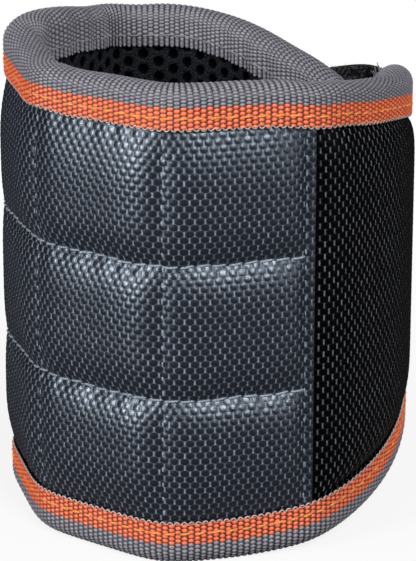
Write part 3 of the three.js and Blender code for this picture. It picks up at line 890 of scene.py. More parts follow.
def finishes():
    """Every finish of the band, made once."""
    colours = bpy.context.scene.wristband_colours
    recipes = {
        "quilt_weave": (nylon, colours.grey_weft, colours.grey_warp_and_glint, colours.grey_gap, QUILT_INDEX),
        "flap_weave": (nylon, colours.black_weft, colours.black_warp_and_glint, colours.black_gap, FLAP_INDEX),
        "tape_weave": (tape_cloth, colours.grey_tape, colours.orange_tape),
        "seam_thread": (sewing_thread, colours.grey_thread),
        "lining_thread": (sewing_thread, colours.lining_thread),
        "stripe_thread": (sewing_thread, colours.orange_thread),
        "fringe_yarn": (sewing_thread, colours.fringe),
        "lining_knit": (mesh_cloth, colours.mesh_lining),
        "strap_nap": (napped_cloth, colours.pile),
        "strap_hair": (napped_cloth, colours.hair),
        "foam_cells": (foam_sheet, colours.foam),
        "backing_weave": (plain_cloth, colours.backing),
        "magnet_nickel": (plated_metal, colours.plating),
    }
    made = bpy.data.materials
    return {name: made.get(name) or make(name, *values) for name, (make, *values) in recipes.items()}


# Geometry nodes


class NodeTree:
    """A geometry node tree with named inputs and short ways to add nodes."""

    def __init__(self, name, inputs):
        self.group = bpy.data.node_groups.new(name, "GeometryNodeTree")
        face = self.group.interface
        face.new_socket(name="Geometry", in_out="INPUT", socket_type="NodeSocketGeometry")
        self.identifiers = {}
        for title, kind in inputs.items():
            socket = face.new_socket(name=title, in_out="INPUT", socket_type=kind)
            self.identifiers[title] = socket.identifier
        face.new_socket(name="Geometry", in_out="OUTPUT", socket_type="NodeSocketGeometry")
        self.start = self.group.nodes.new("NodeGroupInput")
        self.end = self.group.nodes.new("NodeGroupOutput")

    def given(self, title):
        return self.start.outputs[title]

    def node(self, kind, settings=None, **inputs):
        return add_node(self.group, kind, settings, **inputs)

    def made(self, kind, settings=None, **inputs):
        """The first output of a new node."""
        return self.node(kind, settings, **inputs).outputs[0]

    def math(self, operation, a, b=0.0):
        return self.made("ShaderNodeMath", {"operation": operation}, _0=a, _1=b)

    def vector(self, operation, a, **inputs):
        return self.made("ShaderNodeVectorMath", {"operation": operation}, _0=a, **inputs)

    def tube(self, curve, sides):
        """A closed tube of the given radius along a curve."""
        circle = self.made("GeometryNodeCurvePrimitiveCircle", Resolution=sides, Radius=self.given("Radius"))
        return self.made("GeometryNodeCurveToMesh", Curve=curve, Profile_Curve=circle, Fill_Caps=True)

    def close(self, geometry):
        real = self.made("GeometryNodeRealizeInstances", Geometry=geometry)
        smooth = self.made("GeometryNodeSetShadeSmooth", Geometry=real)
        painted = self.made("GeometryNodeSetMaterial", Geometry=smooth, Material=self.given("Material"))
        self.group.links.new(painted, self.end.inputs[0])


def grown(obj, tree, values):
    """Runs a node tree on an object and keeps the result as its plain mesh."""
    modifier = obj.modifiers.new(tree.group.name, "NODES")
    modifier.node_group = tree.group
    for title, value in values.items():
        modifier[tree.identifiers[title]] = value
    bpy.context.view_layer.update()
    evaluated = obj.evaluated_get(bpy.context.evaluated_depsgraph_get())
    mesh = bpy.data.meshes.new_from_object(evaluated)
    obj.modifiers.remove(modifier)
    obj.data = mesh
    return obj


# Points along one stitch, and sides of a thread.
POINTS_PER_STITCH = 10.0
THREAD_SIDES = 6

# How each thread lies: how far it lifts and dives, how sharply it turns down, and how far it slants.
ROW_STITCH = {"Lift": 0.13 * MM, "Dive": 0.8 * MM, "Sharpness": 5.0, "Slant": 0.3 * MM}
COLUMN_STITCH = {"Lift": -0.05 * MM, "Dive": 0.8 * MM, "Sharpness": 1.2, "Slant": 0.3 * MM}
STRIPE_STITCH = {"Lift": 0.05 * MM, "Dive": 0.8 * MM, "Sharpness": 2.2, "Slant": 0.3 * MM}
LINING_STITCH = {"Lift": 0.02 * MM, "Dive": 0.6 * MM, "Sharpness": 2.0, "Slant": 0.2 * MM}
FRINGE_LOOP = {"Lift": 0.32 * MM, "Dive": 0.35 * MM, "Sharpness": 2.0, "Slant": 0.0}
LOOSE_YARN = {"Lift": 0.0, "Dive": 0.0, "Sharpness": 1.0, "Slant": 0.0}


def stitch_tree():
    """A thread that runs along the cloth and dives through it once a stitch."""
    inputs = {
        "Stitch": "NodeSocketFloat",
        "Radius": "NodeSocketFloat",
        "Lift": "NodeSocketFloat",
        "Dive": "NodeSocketFloat",
        "Sharpness": "NodeSocketFloat",
        "Slant": "NodeSocketFloat",
        "Material": "NodeSocketMaterial",
    }
    tree = NodeTree("Running stitch", inputs)
    line = tree.made("GeometryNodeMeshToCurve", Mesh=tree.given("Geometry"))
    step = tree.math("DIVIDE", tree.given("Stitch"), POINTS_PER_STITCH)
    fine = tree.made("GeometryNodeResampleCurve", {"mode": "LENGTH"}, Curve=line, Length=step)
    run = tree.node("GeometryNodeSplineParameter").outputs["Length"]
    part = tree.math("FRACT", tree.math("DIVIDE", run, tree.given("Stitch")))
    from_middle = tree.math("MULTIPLY", tree.math("ABSOLUTE", tree.math("SUBTRACT", part, 0.5)), 2.0)
    sunk = tree.math("POWER", from_middle, tree.given("Sharpness"))
    reach = tree.math("ADD", tree.given("Lift"), tree.given("Dive"))
    height = tree.math("SUBTRACT", tree.given("Lift"), tree.math("MULTIPLY", sunk, reach))
    out = tree.made("GeometryNodeInputNamedAttribute", {"data_type": "FLOAT_VECTOR"}, Name="out")
    rise = tree.vector("SCALE", out, Scale=height)
    across = tree.vector("CROSS_PRODUCT", out, _1=tree.made("GeometryNodeInputTangent"))
    aside = tree.math("MULTIPLY", tree.math("SUBTRACT", part, 0.5), tree.given("Slant"))
    lean = tree.vector("SCALE", across, Scale=aside)
    offset = tree.vector("ADD", rise, _1=lean)
    moved = tree.made("GeometryNodeSetPosition", Geometry=fine, Offset=offset)
    tree.close(tree.tube(moved, THREAD_SIDES))
    return tree


def thread_line(name, lines, tree, material, radius, stitch, lie):
    """Sews along lines given as pairs of points and outward directions; lie is how the thread lies."""
    points = np.concatenate([line[0] for line in lines])
    outs = np.concatenate([line[1] for line in lines])
    edges = []
    start = 0
    for line in lines:
        edges += [(start + k, start + k + 1) for k in range(len(line[0]) - 1)]
        start += len(line[0])
    mesh = bpy.data.meshes.new(name)
    mesh.from_pydata(points.tolist(), edges, [])
    attribute = mesh.attributes.new("out", "FLOAT_VECTOR", "POINT")
    attribute.data.foreach_set("vector", outs.astype(np.float32).ravel())
    values = {"Stitch": stitch, "Radius": radius, "Material": material, **lie}
    return grown(add_object(name, mesh), tree, values)


# Pieces

# How far the cloths stop short of the band's ends, and of each other at a seam or a join.
CLOTH_END = 1.0 * MM
PANEL_GAP = 0.1 * MM
FILLING_GAP = 0.2 * MM
JOIN_GAP = 0.02 * MM

# How far the panels and the lining reach in under the tapes, and how far their relief goes on there.
PANEL_UNDER_TAPE = 2.5 * MM
PANEL_KEPT = 1.0 * MM
LINING_UNDER_TAPE = 3 * MM
LINING_KEPT = 1.5 * MM

# Mesh steps along a float of the quilt and of the panels, up a row of the weave, across a hole, across a
# column of beads and along a bead.
QUILT_STEPS = 8
PANEL_STEPS = 7
ROW_STEPS = 4
HOLE_STEPS = 8
COLUMN_STEPS = 5
BEAD_STEPS = 4


def the_plan():
    """The plan for the sizes that are set now."""
    return BandPlan(bpy.context.scene.wristband_sizes)


def flat_at(depth):
    """An inner face that lies at one depth."""
    return lambda place, height: np.full_like(height, depth)


def bend_at_flap(obj):
    """Bakes the piece's placement into its mesh."""
    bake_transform(obj)


def bend_at_wrap(obj):
    """Bakes the piece's placement into its mesh."""
    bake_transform(obj)


class WRISTBAND_OT_quilt(bpy.types.Operator):
    """Make the quilted panel that holds the magnets"""

    bl_idname = "wristband.quilt"
    bl_label = "Quilted panel"

    def execute(self, context):
        sizes = context.scene.wristband_sizes
        cloth = context.scene.wristband_cloth
        plan = the_plan()
        s = steps(plan.flap_seam + PANEL_GAP, plan.wrap_seam - PANEL_GAP, cloth.weave_pitch, QUILT_STEPS)
        edges = plan.face(s, -1), plan.face(s, 1)
        z, shown = cloth_rows(*edges, PANEL_UNDER_TAPE, PANEL_KEPT, cloth.weave_row, ROW_STEPS)
        relief = np.where(shown, weave_relief(s[:, None], z, cloth), PLAIN_HEIGHT)
        outer = quilt_height(plan, s[:, None], z) + (relief - 1) * cloth.weave_height
        inner_count = 40

        def inner(place, height):
            return quilt_height(plan, place, height) - sizes.panel

        rings = sheet_rings(plan, s, z, outer, inner, inner_count)
        obj = loft("quilted_panel", rings, s, rings[..., 2], padded_ends(relief, inner_count))
        finish_piece(obj, finishes()["quilt_weave"], ["magnet_panel"])
        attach(obj, "magnet_band")
        return {"FINISHED"}


# A panel's tail: its length and thickness, and how deep and how suddenly it tucks under the quilt's hem.
TAIL = 3.0 * MM
TAIL_THICKNESS = 0.4 * MM
TUCK_DEPTH = 0.85 * MM
TUCK_REACH = 0.6 * MM


class WRISTBAND_OT_panels(bpy.types.Operator):
    """Make the plain black panels of the flap and the wrap"""

    bl_idname = "wristband.panels"
    bl_label = "Flap and wrap panels"

    def execute(self, context):
        sizes = context.scene.wristband_sizes
        plan = the_plan()
        crowned = (CLOTH_END + sizes.end_tape, plan.flap_seam)
        flap = self.panel("flap_cloth", plan, (CLOTH_END, plan.flap_seam + TAIL), crowned, sizes.flap_crown)
        finish_piece(flap, finishes()["flap_weave"], ["flap_panel"])
        bend_at_flap(flap)
        end = plan.length - CLOTH_END
        wrap = self.panel("wrap_cloth", plan, (plan.wrap_seam - TAIL, end), (plan.wrap_seam, end), 0)
        finish_piece(wrap, finishes()["flap_weave"], ["wrap_panel"])
        bend_at_wrap(wrap)
        return {"FINISHED"}

    def panel(self, name, plan, span, crowned, crown):
        """A panel over a span of the band that swells out between the two crowned places."""
        cloth = bpy.context.scene.wristband_cloth
        s = steps(*span, cloth.weave_pitch, PANEL_STEPS)
        low_edge = plan.face(s, -1)
        high_edge = plan.face(s, 1)
        edges = low_edge, high_edge
        z, shown = cloth_rows(*edges, PANEL_UNDER_TAPE, PANEL_KEPT, cloth.weave_row, ROW_STEPS)
        u = between(s, crowned)[:, None]
        past = s - plan.flap_seam if s[0] < plan.flap_seam else plan.wrap_seam - s
        past = np.maximum(past, 0)

        # The tail tucks under the quilt's hem, and the panel before it lies half as deep.
        tuck = TUCK_DEPTH * smooth_step(past, -TUCK_REACH, TUCK_REACH)[:, None]

        def surface(height):
            v = 2 * (height - low_edge[:, None]) / (high_edge - low_edge)[:, None] - 1
            return crown * swell(u, np.clip(v, -1, 1)) - tuck

        shown &= past[:, None] <= 0
        relief = np.where(shown, weave_relief(s[:, None], z, cloth), PLAIN_HEIGHT)
        outer = surface(z) + (relief - 1) * cloth.weave_height
        inner_count = 16
        thickness = np.where(past > 0, TAIL_THICKNESS, plan.sizes.panel)[:, None]
        rings = sheet_rings(plan, s, z, outer, lambda place, height: surface(height) - thickness, inner_count)
        return loft(name, rings, s, rings[..., 2], padded_ends(relief, inner_count))


# Half of a bead's length and width, as shares of its row and of its column.
BEAD_LENGTH = 0.53
BEAD_WIDTH = 0.52

# The ribs along a rim tape's inner edge: how far from that edge they fade in and are full, and how much of
# a rib's height is its own or its bead's.
RIB_START = 2.1 * MM
RIB_FULL = 1.7 * MM
RIB_OWN = 0.55
RIB_BEAD = 0.45

# Reach and depth of the scallops at that edge, and the share of its width that a closed tape end keeps.
SCALLOP_REACH = 0.9 * MM
SCALLOP_DEPTH = 0.4 * MM
CLOSED_WIDTH = 0.12

# Points round the roll of a rim tape.
ROLL_POINTS = 181


def across_column(s, cloth):
    """Where a place lies across its column of beads, from -1 to 1."""
    return 2 * (s / cloth.bead_column - np.floor(s / cloth.bead_column)) - 1


def bead_relief(s, t, total, cloth):
    """Round beads in staggered columns, long ribs along the edge at total, and the stripe."""
    row, column = cloth.bead_row, cloth.bead_column
    bead, middle = dome_relief(t, s - column / 2, row, column, BEAD_LENGTH * row, BEAD_WIDTH * column)
    ribs = smooth_step(total - t, RIB_START, RIB_FULL)
    rib = (1 - across_column(s, cloth) ** 2) * (RIB_OWN + RIB_BEAD * bead)
    return bead + (rib - bead) * ribs, (middle < cloth.stripe).astype(float)


def beaded_outline(outline, cloth, side):
    """Lengths and points along a tape's outline, a few to each bead, and the directions out of the tape."""
    run = around_lengths(outline)
    step = cloth.bead_row / BEAD_STEPS
    t = np.arange(0, math.floor(run[-1] / step) + 1) * step
    points = points_at(t, run, outline)
    slope = np.gradient(points, axis=0)
    normal = side * np.stack([-slope[:, 1], slope[:, 0]], -1)
    return t, points, normal / np.linalg.norm(normal, axis=1)[:, None]


def folded_rings(t, section, normal, relief, thickness, inner_count):
    """Sections of a folded tape, its beaded outer face and then its inner one, and the lengths along them."""
    bead_height = bpy.context.scene.wristband_cloth.bead_height
    outer = section + ((relief - 1) * bead_height)[..., None] * normal
    back = np.linspace(t[-1], 0, inner_count)
    inner = points_at(back, t, section - thickness * normal)
    inner = np.broadcast_to(inner, (len(relief), inner_count, 2))
    return np.concatenate([outer, inner], axis=1), np.concatenate([t, back])


class WRISTBAND_OT_rim_tapes(bpy.types.Operator):
    """Fold the beaded tape over both rims, in a front and a rear length"""

    bl_idname = "wristband.rim_tapes"
    bl_label = "Rim tapes"

    def execute(self, context):
        plan = the_plan()
        rim_tape = finishes()["tape_weave"]
        for place, up in (("upper", 1), ("lower", -1)):
            side = "top" if up > 0 else "bottom"
            front = self.tape(f"{place}_tape_front", plan, up, 0, plan.join)
            finish_piece(front, rim_tape, [f"flap_binding_{side}", f"band_binding_{side}"])
            bend_at_flap(front)
            rear = self.tape(f"{place}_tape_rear", plan, up, plan.join + JOIN_GAP, plan.length)
            finish_piece(rear, rim_tape, [f"wrap_binding_{side}"])
            bend_at_wrap(rear)
        return {"FINISHED"}

    def tape(self, name, plan, up, start, stop):
        cloth = bpy.context.scene.wristband_cloth
        sizes = plan.sizes
        s = steps(start, stop, cloth.bead_column, COLUMN_STEPS)
        t, section, normal = beaded_outline(self.outline(sizes, up), cloth, 1)
        relief, orange = bead_relief(s[:, None], t, t[-1], cloth)
        inner_count = 22
        ring, run = folded_rings(t, section, normal, relief, sizes.tape, inner_count)
        inside = smooth_step(ring[..., 0], -sizes.tape_back / 2, -sizes.tape_back)
        ring[..., 0] -= inside * plan.slack(s)[:, None]
        at_edge = smooth_step(run, t[-1] - SCALLOP_REACH, t[-1])
        ring[..., 1] -= SCALLOP_DEPTH * across_column(s, cloth)[:, None] ** 2 * at_edge
        from_end = np.clip(np.minimum(s, plan.length - s) / sizes.tape_closing, 0, 1)
        width = np.maximum(np.sqrt(1 - (1 - from_end) ** 2), CLOSED_WIDTH)[:, None]
        middle = (sizes.tape_face - sizes.tape_back) / 2
        ring[..., 0] = middle + width * (ring[..., 0] - middle)
        depth = np.maximum(ring[..., 1], 0)
        depth += plan.squash(s, up)[:, None] * np.clip(1 - depth / (sizes.tape_outside - cloth.stripe), 0, 1)
        z = plan.rim(s, up)[:, None] - up * depth
        rings = plan.path.point(s[:, None], ring[..., 0], z)
        extra = {"orange": padded_ends(orange, inner_count)}
        return loft(name, rings, s, around_lengths(rings[0]), padded_ends(relief, inner_count), extra)

    def outline(self, sizes, up):
        """The folded tape's offsets and depths, from its outer edge over the rim to its inner edge."""
        height = sizes.tape_roll if up > 0 else sizes.foot_roll
        spring = height - (sizes.foot_flat if up < 0 else 0)
        turn = np.linspace(0, math.pi, ROLL_POINTS)
        middle = (sizes.tape_face - sizes.tape_back) / 2
        reach = (sizes.tape_face + sizes.tape_back) / 2
        roll = np.stack([middle + reach * np.cos(turn), spring - height * np.sin(turn)], -1)
        edges = [sizes.tape_face, sizes.tape_outside], [-sizes.tape_back, sizes.tape_inside]
        return np.concatenate([edges[:1], roll, edges[1:]])


class WRISTBAND_OT_end_tapes(bpy.types.Operator):
    """Fold a tape round the upright end of the flap and of the tongue"""

    bl_idname = "wristband.end_tapes"
    bl_label = "End tapes"

    def execute(self, context):
        plan = the_plan()
        ends = {
            "flap_end_tape": (0.0, 1, "flap_end_binding", "end_flap"),
            "tongue_end_tape": (plan.length, -1, "tongue_end_binding", "rear_wrap"),
        }
        for name, (edge, inward, node, body) in ends.items():
            obj = self.tape(name, plan, edge, inward)
            finish_piece(obj, finishes()["tape_weave"], [node])
            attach(obj, body)
        return {"FINISHED"}

    def tape(self, name, plan, edge, inward):
        cloth = bpy.context.scene.wristband_cloth
        sizes = plan.sizes
        low = plan.rim(edge, -1) + sizes.tape_inside
        high = plan.rim(edge, 1) - sizes.tape_inside
        along = steps(0, float(high - low), cloth.bead_column, COLUMN_STEPS)
        t, section, normal = beaded_outline(self.outline(sizes), cloth, -1)
        no_ribs = math.inf
        relief, _ = bead_relief(along[:, None], t, no_ribs, cloth)
        inner_count = 14
        ring, _ = folded_rings(t, section, normal, relief, sizes.tape, inner_count)
        s = edge + inward * ring[..., 0]
        rings = plan.path.point(s, ring[..., 1], low + along[:, None])
        relief = padded_ends(relief, inner_count)
        return loft(name, rings, along, around_lengths(rings[0]), relief, {"orange": np.zeros_like(relief)})

    def outline(self, sizes):
        """The tape's reaches in from the band's end and its offsets, from the outer leg to the inner one."""
        corner = 1.2 * MM
        corner_points = 10
        leg = sizes.end_tape
        face, back = sizes.tape_face, -sizes.tape_back
        bend = np.linspace(0, math.pi / 2, corner_points)
        first = np.stack([corner - corner * np.sin(bend), face - corner + corner * np.cos(bend)], -1)
        second = np.stack([corner - corner * np.cos(bend), back + corner - corner * np.sin(bend)], -1)
        return np.concatenate([[[leg, face]], first, second, [[leg, back]]])


# Depth of the lining's holes, as a share of its thickness.
HOLE_DEPTH = 0.75


class WRISTBAND_OT_lining(bpy.types.Operator):
    """Make the perforated mesh lining, in a front and a rear length"""

    bl_idname = "wristband.lining"
    bl_label = "Mesh lining"

    def execute(self, context):
        plan = the_plan()
        front = self.mesh("mesh_lining_front", plan, CLOTH_END, plan.join)
        finish_piece(front, finishes()["lining_knit"], ["flap_lining", "band_lining"])
        bend_at_flap(front)
        rear = self.mesh("mesh_lining_rear", plan, plan.join + JOIN_GAP, plan.length - CLOTH_END)
        finish_piece(rear, finishes()["lining_knit"], ["wrap_lining"])
        bend_at_wrap(rear)
        return {"FINISHED"}

    def mesh(self, name, plan, start, stop):
        cloth = bpy.context.scene.wristband_cloth
        sizes = plan.sizes
        s = steps(start, stop, cloth.hole_column, HOLE_STEPS)
        edges = plan.rim(s, -1) + sizes.tape_inside, plan.rim(s, 1) - sizes.tape_inside
        z, shown = cloth_rows(*edges, LINING_UNDER_TAPE, LINING_KEPT, cloth.hole_pitch, HOLE_STEPS)
        relief = np.where(shown, hole_relief(s[:, None], z, cloth), 1.0)
        face = -sizes.lining_face - (relief - 1) * HOLE_DEPTH * sizes.lining
        inner_count = 2
        rings = sheet_rings(plan, s, z, face, flat_at(sizes.lining - sizes.lining_face), inner_count)
        obj = loft(name, rings, s, around_lengths(rings[0]), padded_ends(relief, inner_count))
        return obj


# Depths of the padding's inner face, of its outer face at the flap and the wrap, and of the pocket cloth's
# outer face, and that cloth's thickness.
FOAM_BACK = -3.7 * MM
FOAM_FACE = -1.4 * MM
BACKING_FACE = -1.35 * MM
BACKING = 0.4 * MM

# How far a tape presses the filling's edge in, and over what share of its height.
GRIP = 0.2 * MM
GRIP_SHARE = 0.05

# Mesh steps along the filling, and points up it.
FILLING_STEP = 1.5 * MM
FILLING_POINTS = 40


class WRISTBAND_OT_filling(bpy.types.Operator):
    """Make the foam padding and the pocket backing"""

    bl_idname = "wristband.filling"
    bl_label = "Padding and backing"

    def execute(self, context):
        sizes = context.scene.wristband_sizes
        plan = the_plan()
        front = (plan.flap_seam + FILLING_GAP, plan.wrap_seam - FILLING_GAP)
        flap = (CLOTH_END, plan.flap_seam - FILLING_GAP)
        wrap = (plan.wrap_seam + FILLING_GAP, plan.length - CLOTH_END)
        spans = {
            "band_foam": (front, FOAM_BACK + sizes.foam, "band_padding", "magnet_band"),
            "flap_foam": (flap, FOAM_FACE, "flap_padding", "end_flap"),
            "wrap_foam": (wrap, FOAM_FACE, "wrap_padding", "rear_wrap"),
        }
        for name, (span, outer, node, body) in spans.items():
            obj = self.slab(name, plan, span, FOAM_BACK, outer)
            finish_piece(obj, finishes()["foam_cells"], [node])
            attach(obj, body)
        backing = self.slab("pocket_cloth", plan, front, BACKING_FACE - BACKING, BACKING_FACE)
        finish_piece(backing, finishes()["backing_weave"], ["pocket_backing"])
        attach(backing, "magnet_band")
        return {"FINISHED"}

    def slab(self, name, plan, span, inner, outer):
        s = steps(*span, FILLING_STEP, 1)
        edge = plan.sizes.tape_roll
        rise = np.linspace(0, 1, FILLING_POINTS)
        low = plan.rim(s, -1)[:, None] + edge
        high = plan.rim(s, 1)[:, None] - edge
        z = low + (high - low) * rise
        # The edges are pressed thin where the tape grips them.
        grip = GRIP * (1 - smooth_step(np.minimum(rise, 1 - rise), 0.0, GRIP_SHARE))
        face = outer - np.broadcast_to(grip, z.shape)
        rings = sheet_rings(plan, s, z, face, flat_at(inner), FILLING_POINTS)
        return loft(name, rings, s, around_lengths(rings[0]))


# Mesh steps along the strap, points of its sewn root, of its free swing and seated end, round a far corner
# and up it, and the opening that is left at a strip's tip.
STRAP_STEP = 0.6 * MM
ROOT_POINTS = 6
SWING_POINTS = 60
CORNER_POINTS = 14
STRAP_ROWS = 100
TIP_OPENING = 0.01 * MM

# Waves of a nap: the first wave along the strip, its bow and the wave of that bow up it, then the second
# wave up the strip and its skew along it, in radians a metre but for the bow.
STRAP_WAVES = (5200, 3, 2300, 4700, 900)
PILE_WAVES = (4100, 2, 1900, 3600, 0)


def nap_wave(along, up, waves):
    """Unevenness of a napped face, from -1 to 1."""
    first, bow, bowed, second, skew = waves
    return np.sin(along * first + bow * np.sin(up * bowed)) * np.sin(up * second + along * skew)


class StrapLine:
    """The strap's way from the flap's end to the loop pile."""

    def __init__(self, plan, strap):
        self.strap = strap
        path = plan.path
        middle = plan.sizes.lining_face / 2
        self.root = path.point(-strap.clearance - strap.thickness / 2, -middle, 0)
        self.middle = float(plan.rim(0.0, 1) + plan.rim(0.0, -1)) / 2
        landing_at = plan.length - plan.sizes.tongue_length
        landing = path.point(landing_at, strap.seat, 0)
        self.leave = self.backwards(path, 0.0)
        arrive = self.backwards(path, landing_at)
        knots = [
            self.root,
            self.root + self.leave * strap.root_reach,
            landing - arrive * strap.landing_reach,
            landing,
        ]
        share_along = np.linspace(0, 1, SWING_POINTS)[:-1, None]
        left = 1 - share_along
        weights = [left**3, 3 * left**2 * share_along, 3 * left * share_along**2, share_along**3]
        swing = sum(weight * knot for weight, knot in zip(weights, knots))
        seated = path.point(np.linspace(landing_at, landing_at - strap.contact, SWING_POINTS), strap.seat, 0)
        sewn = self.root - self.leave * np.linspace(strap.sewn_in, 0, ROOT_POINTS)[:-1, None]
        self.points = np.concatenate([sewn, swing, seated])
        self.runs = around_lengths(self.points) - strap.sewn_in
        self.length = float(self.runs[-1])
        directions = np.gradient(self.points, axis=0)
        self.directions = directions / np.linalg.norm(directions, axis=1)[:, None]

    @staticmethod
    def backwards(path, s):
        """The direction against the path's own at a place along it."""
        heading = path.locate(np.asarray(s, float))[2]
        return np.array([-math.cos(heading), -math.sin(heading), 0])

    def at(self, run):
        """Points along the strap, and the directions out of its face."""
        point = points_at(run, self.runs, self.points)
        along = points_at(run, self.runs, self.directions)
        side = np.stack([along[..., 1], -along[..., 0], np.zeros_like(run)], -1)
        return point, side / np.linalg.norm(side, axis=-1)[..., None]

    def strip(self, name, span, inner, outer, margin, nap):
        """A strip on the strap's line with round far corners and a napped face on both sides."""
        strap = self.strap
        start, stop = span
        corner = strap.corner - margin
        straight = steps(start, stop - corner, STRAP_STEP, 1)
        turn = np.sin(np.linspace(0, math.pi / 2, CORNER_POINTS))[1:]
        runs = np.concatenate([straight, stop - corner + corner * turn])
        past = np.clip(runs - (stop - corner), 0, corner)
        inset = margin + corner - np.sqrt(corner**2 - past**2 + TIP_OPENING**2)
        half = strap.height / 2 - inset
        rise = np.linspace(-1, 1, STRAP_ROWS)
        z = self.middle + half[:, None] * rise
        point, side = self.at(runs)
        wave = nap * nap_wave(runs[:, None], z, STRAP_WAVES)
        front = point[:, None] + (outer + wave)[..., None] * side[:, None]
        back = point[:, None] + (inner + wave[:, ::-1])[..., None] * side[:, None]
        front[..., 2] = z
        back[..., 2] = z
        rings = np.concatenate([front, back[:, ::-1]], axis=1)
        facing = np.concatenate([np.ones_like(z), np.zeros_like(z)], axis=1)
        return loft(name, rings, runs, around_lengths(rings[0]), extra={"front": facing})


class Fibre(NamedTuple):
    """A bent fibre: the radius of its bend and its own, its turn in degrees, and its points and sides."""

    name: str
    bend: float
    radius: float
    sweep: float
    points: int
    sides: int


HAIR = Fibre("Hairs", 0.38 * MM, 0.035 * MM, 100, 4, 3)
HOOK = Fibre("Hooks", 0.22 * MM, 0.07 * MM, 150, 7, 4)
LOOP = Fibre("Loops", 0.32 * MM, 0.045 * MM, 205, 5, 3)


def pile_tree(fibre, on_ground):
    """Bent fibres scattered on the faces that are marked for them, with or without their ground."""
    inputs = {
        "Density": "NodeSocketFloat",
        "Size": "NodeSocketFloat",
        "Radius": "NodeSocketFloat",
        "Seed": "NodeSocketInt",
        "Material": "NodeSocketMaterial",
    }
    tree = NodeTree(fibre.name, inputs)
    mark = tree.made("GeometryNodeInputNamedAttribute", {"data_type": "FLOAT"}, Name="nap")
    test = {"data_type": "FLOAT", "operation": "GREATER_THAN"}
    spread = tree.node(
        "GeometryNodeDistributePointsOnFaces",
        Mesh=tree.given("Geometry"),
        Selection=tree.made("FunctionNodeCompare", test, A=mark, B=0.5),
        Density=tree.given("Density"),
        Seed=tree.given("Seed"),
    )
    arc = tree.made(
        "GeometryNodeCurveArc",
        Resolution=fibre.points,
        Radius=tree.given("Size"),
        Sweep_Angle=math.radians(fibre.sweep),
    )
    stand = tree.made("GeometryNodeTransform", Geometry=arc, Rotation=(math.pi / 2, 0, 0))
    any_turn = {"_2": -math.pi, "_3": math.pi}
    spin = tree.node("FunctionNodeRandomValue", {"data_type": "FLOAT"}, Seed=tree.given("Seed"), **any_turn)
    about = tree.made("ShaderNodeCombineXYZ", Z=spin.outputs[1])
    turned = tree.made(
        "FunctionNodeRotateEuler", {"space": "LOCAL"}, Rotation=spread.outputs["Rotation"], Rotate_By=about
    )
    placed = tree.made(
        "GeometryNodeInstanceOnPoints",
        Points=spread.outputs["Points"],
        Instance=tree.tube(stand, fibre.sides),
        Rotation=turned,
    )
    joined = tree.node("GeometryNodeJoinGeometry", Geometry=placed)
    if on_ground:
        tree.group.links.new(tree.given("Geometry"), joined.inputs[0])
    tree.close(joined.outputs[0])
    return tree


def with_fibres(obj, fibre, density, seed, material, on_ground):
    """Grows fibres on the marked faces of a piece."""
    values = {
        "Density": density,
        "Size": fibre.bend,
        "Radius": fibre.radius,
        "Seed": seed,
        "Material": material,
    }
    return grown(obj, pile_tree(fibre, on_ground), values)


# Height of the strap's nap, half of the length over which its root turns, and the hook strip's thickness.
NAP_HEIGHT = 0.04 * MM
HOOK_BASE = 0.35 * MM

# The loop pile: its mesh steps and rows, the heights of its face over the clearance, of its waves and of
# its back.
LOOP_STEP = 0.8 * MM
LOOP_ROWS = 90
LOOP_FACE = 0.75 * MM
LOOP_WAVE = 0.06 * MM
LOOP_BACK = 0.02 * MM


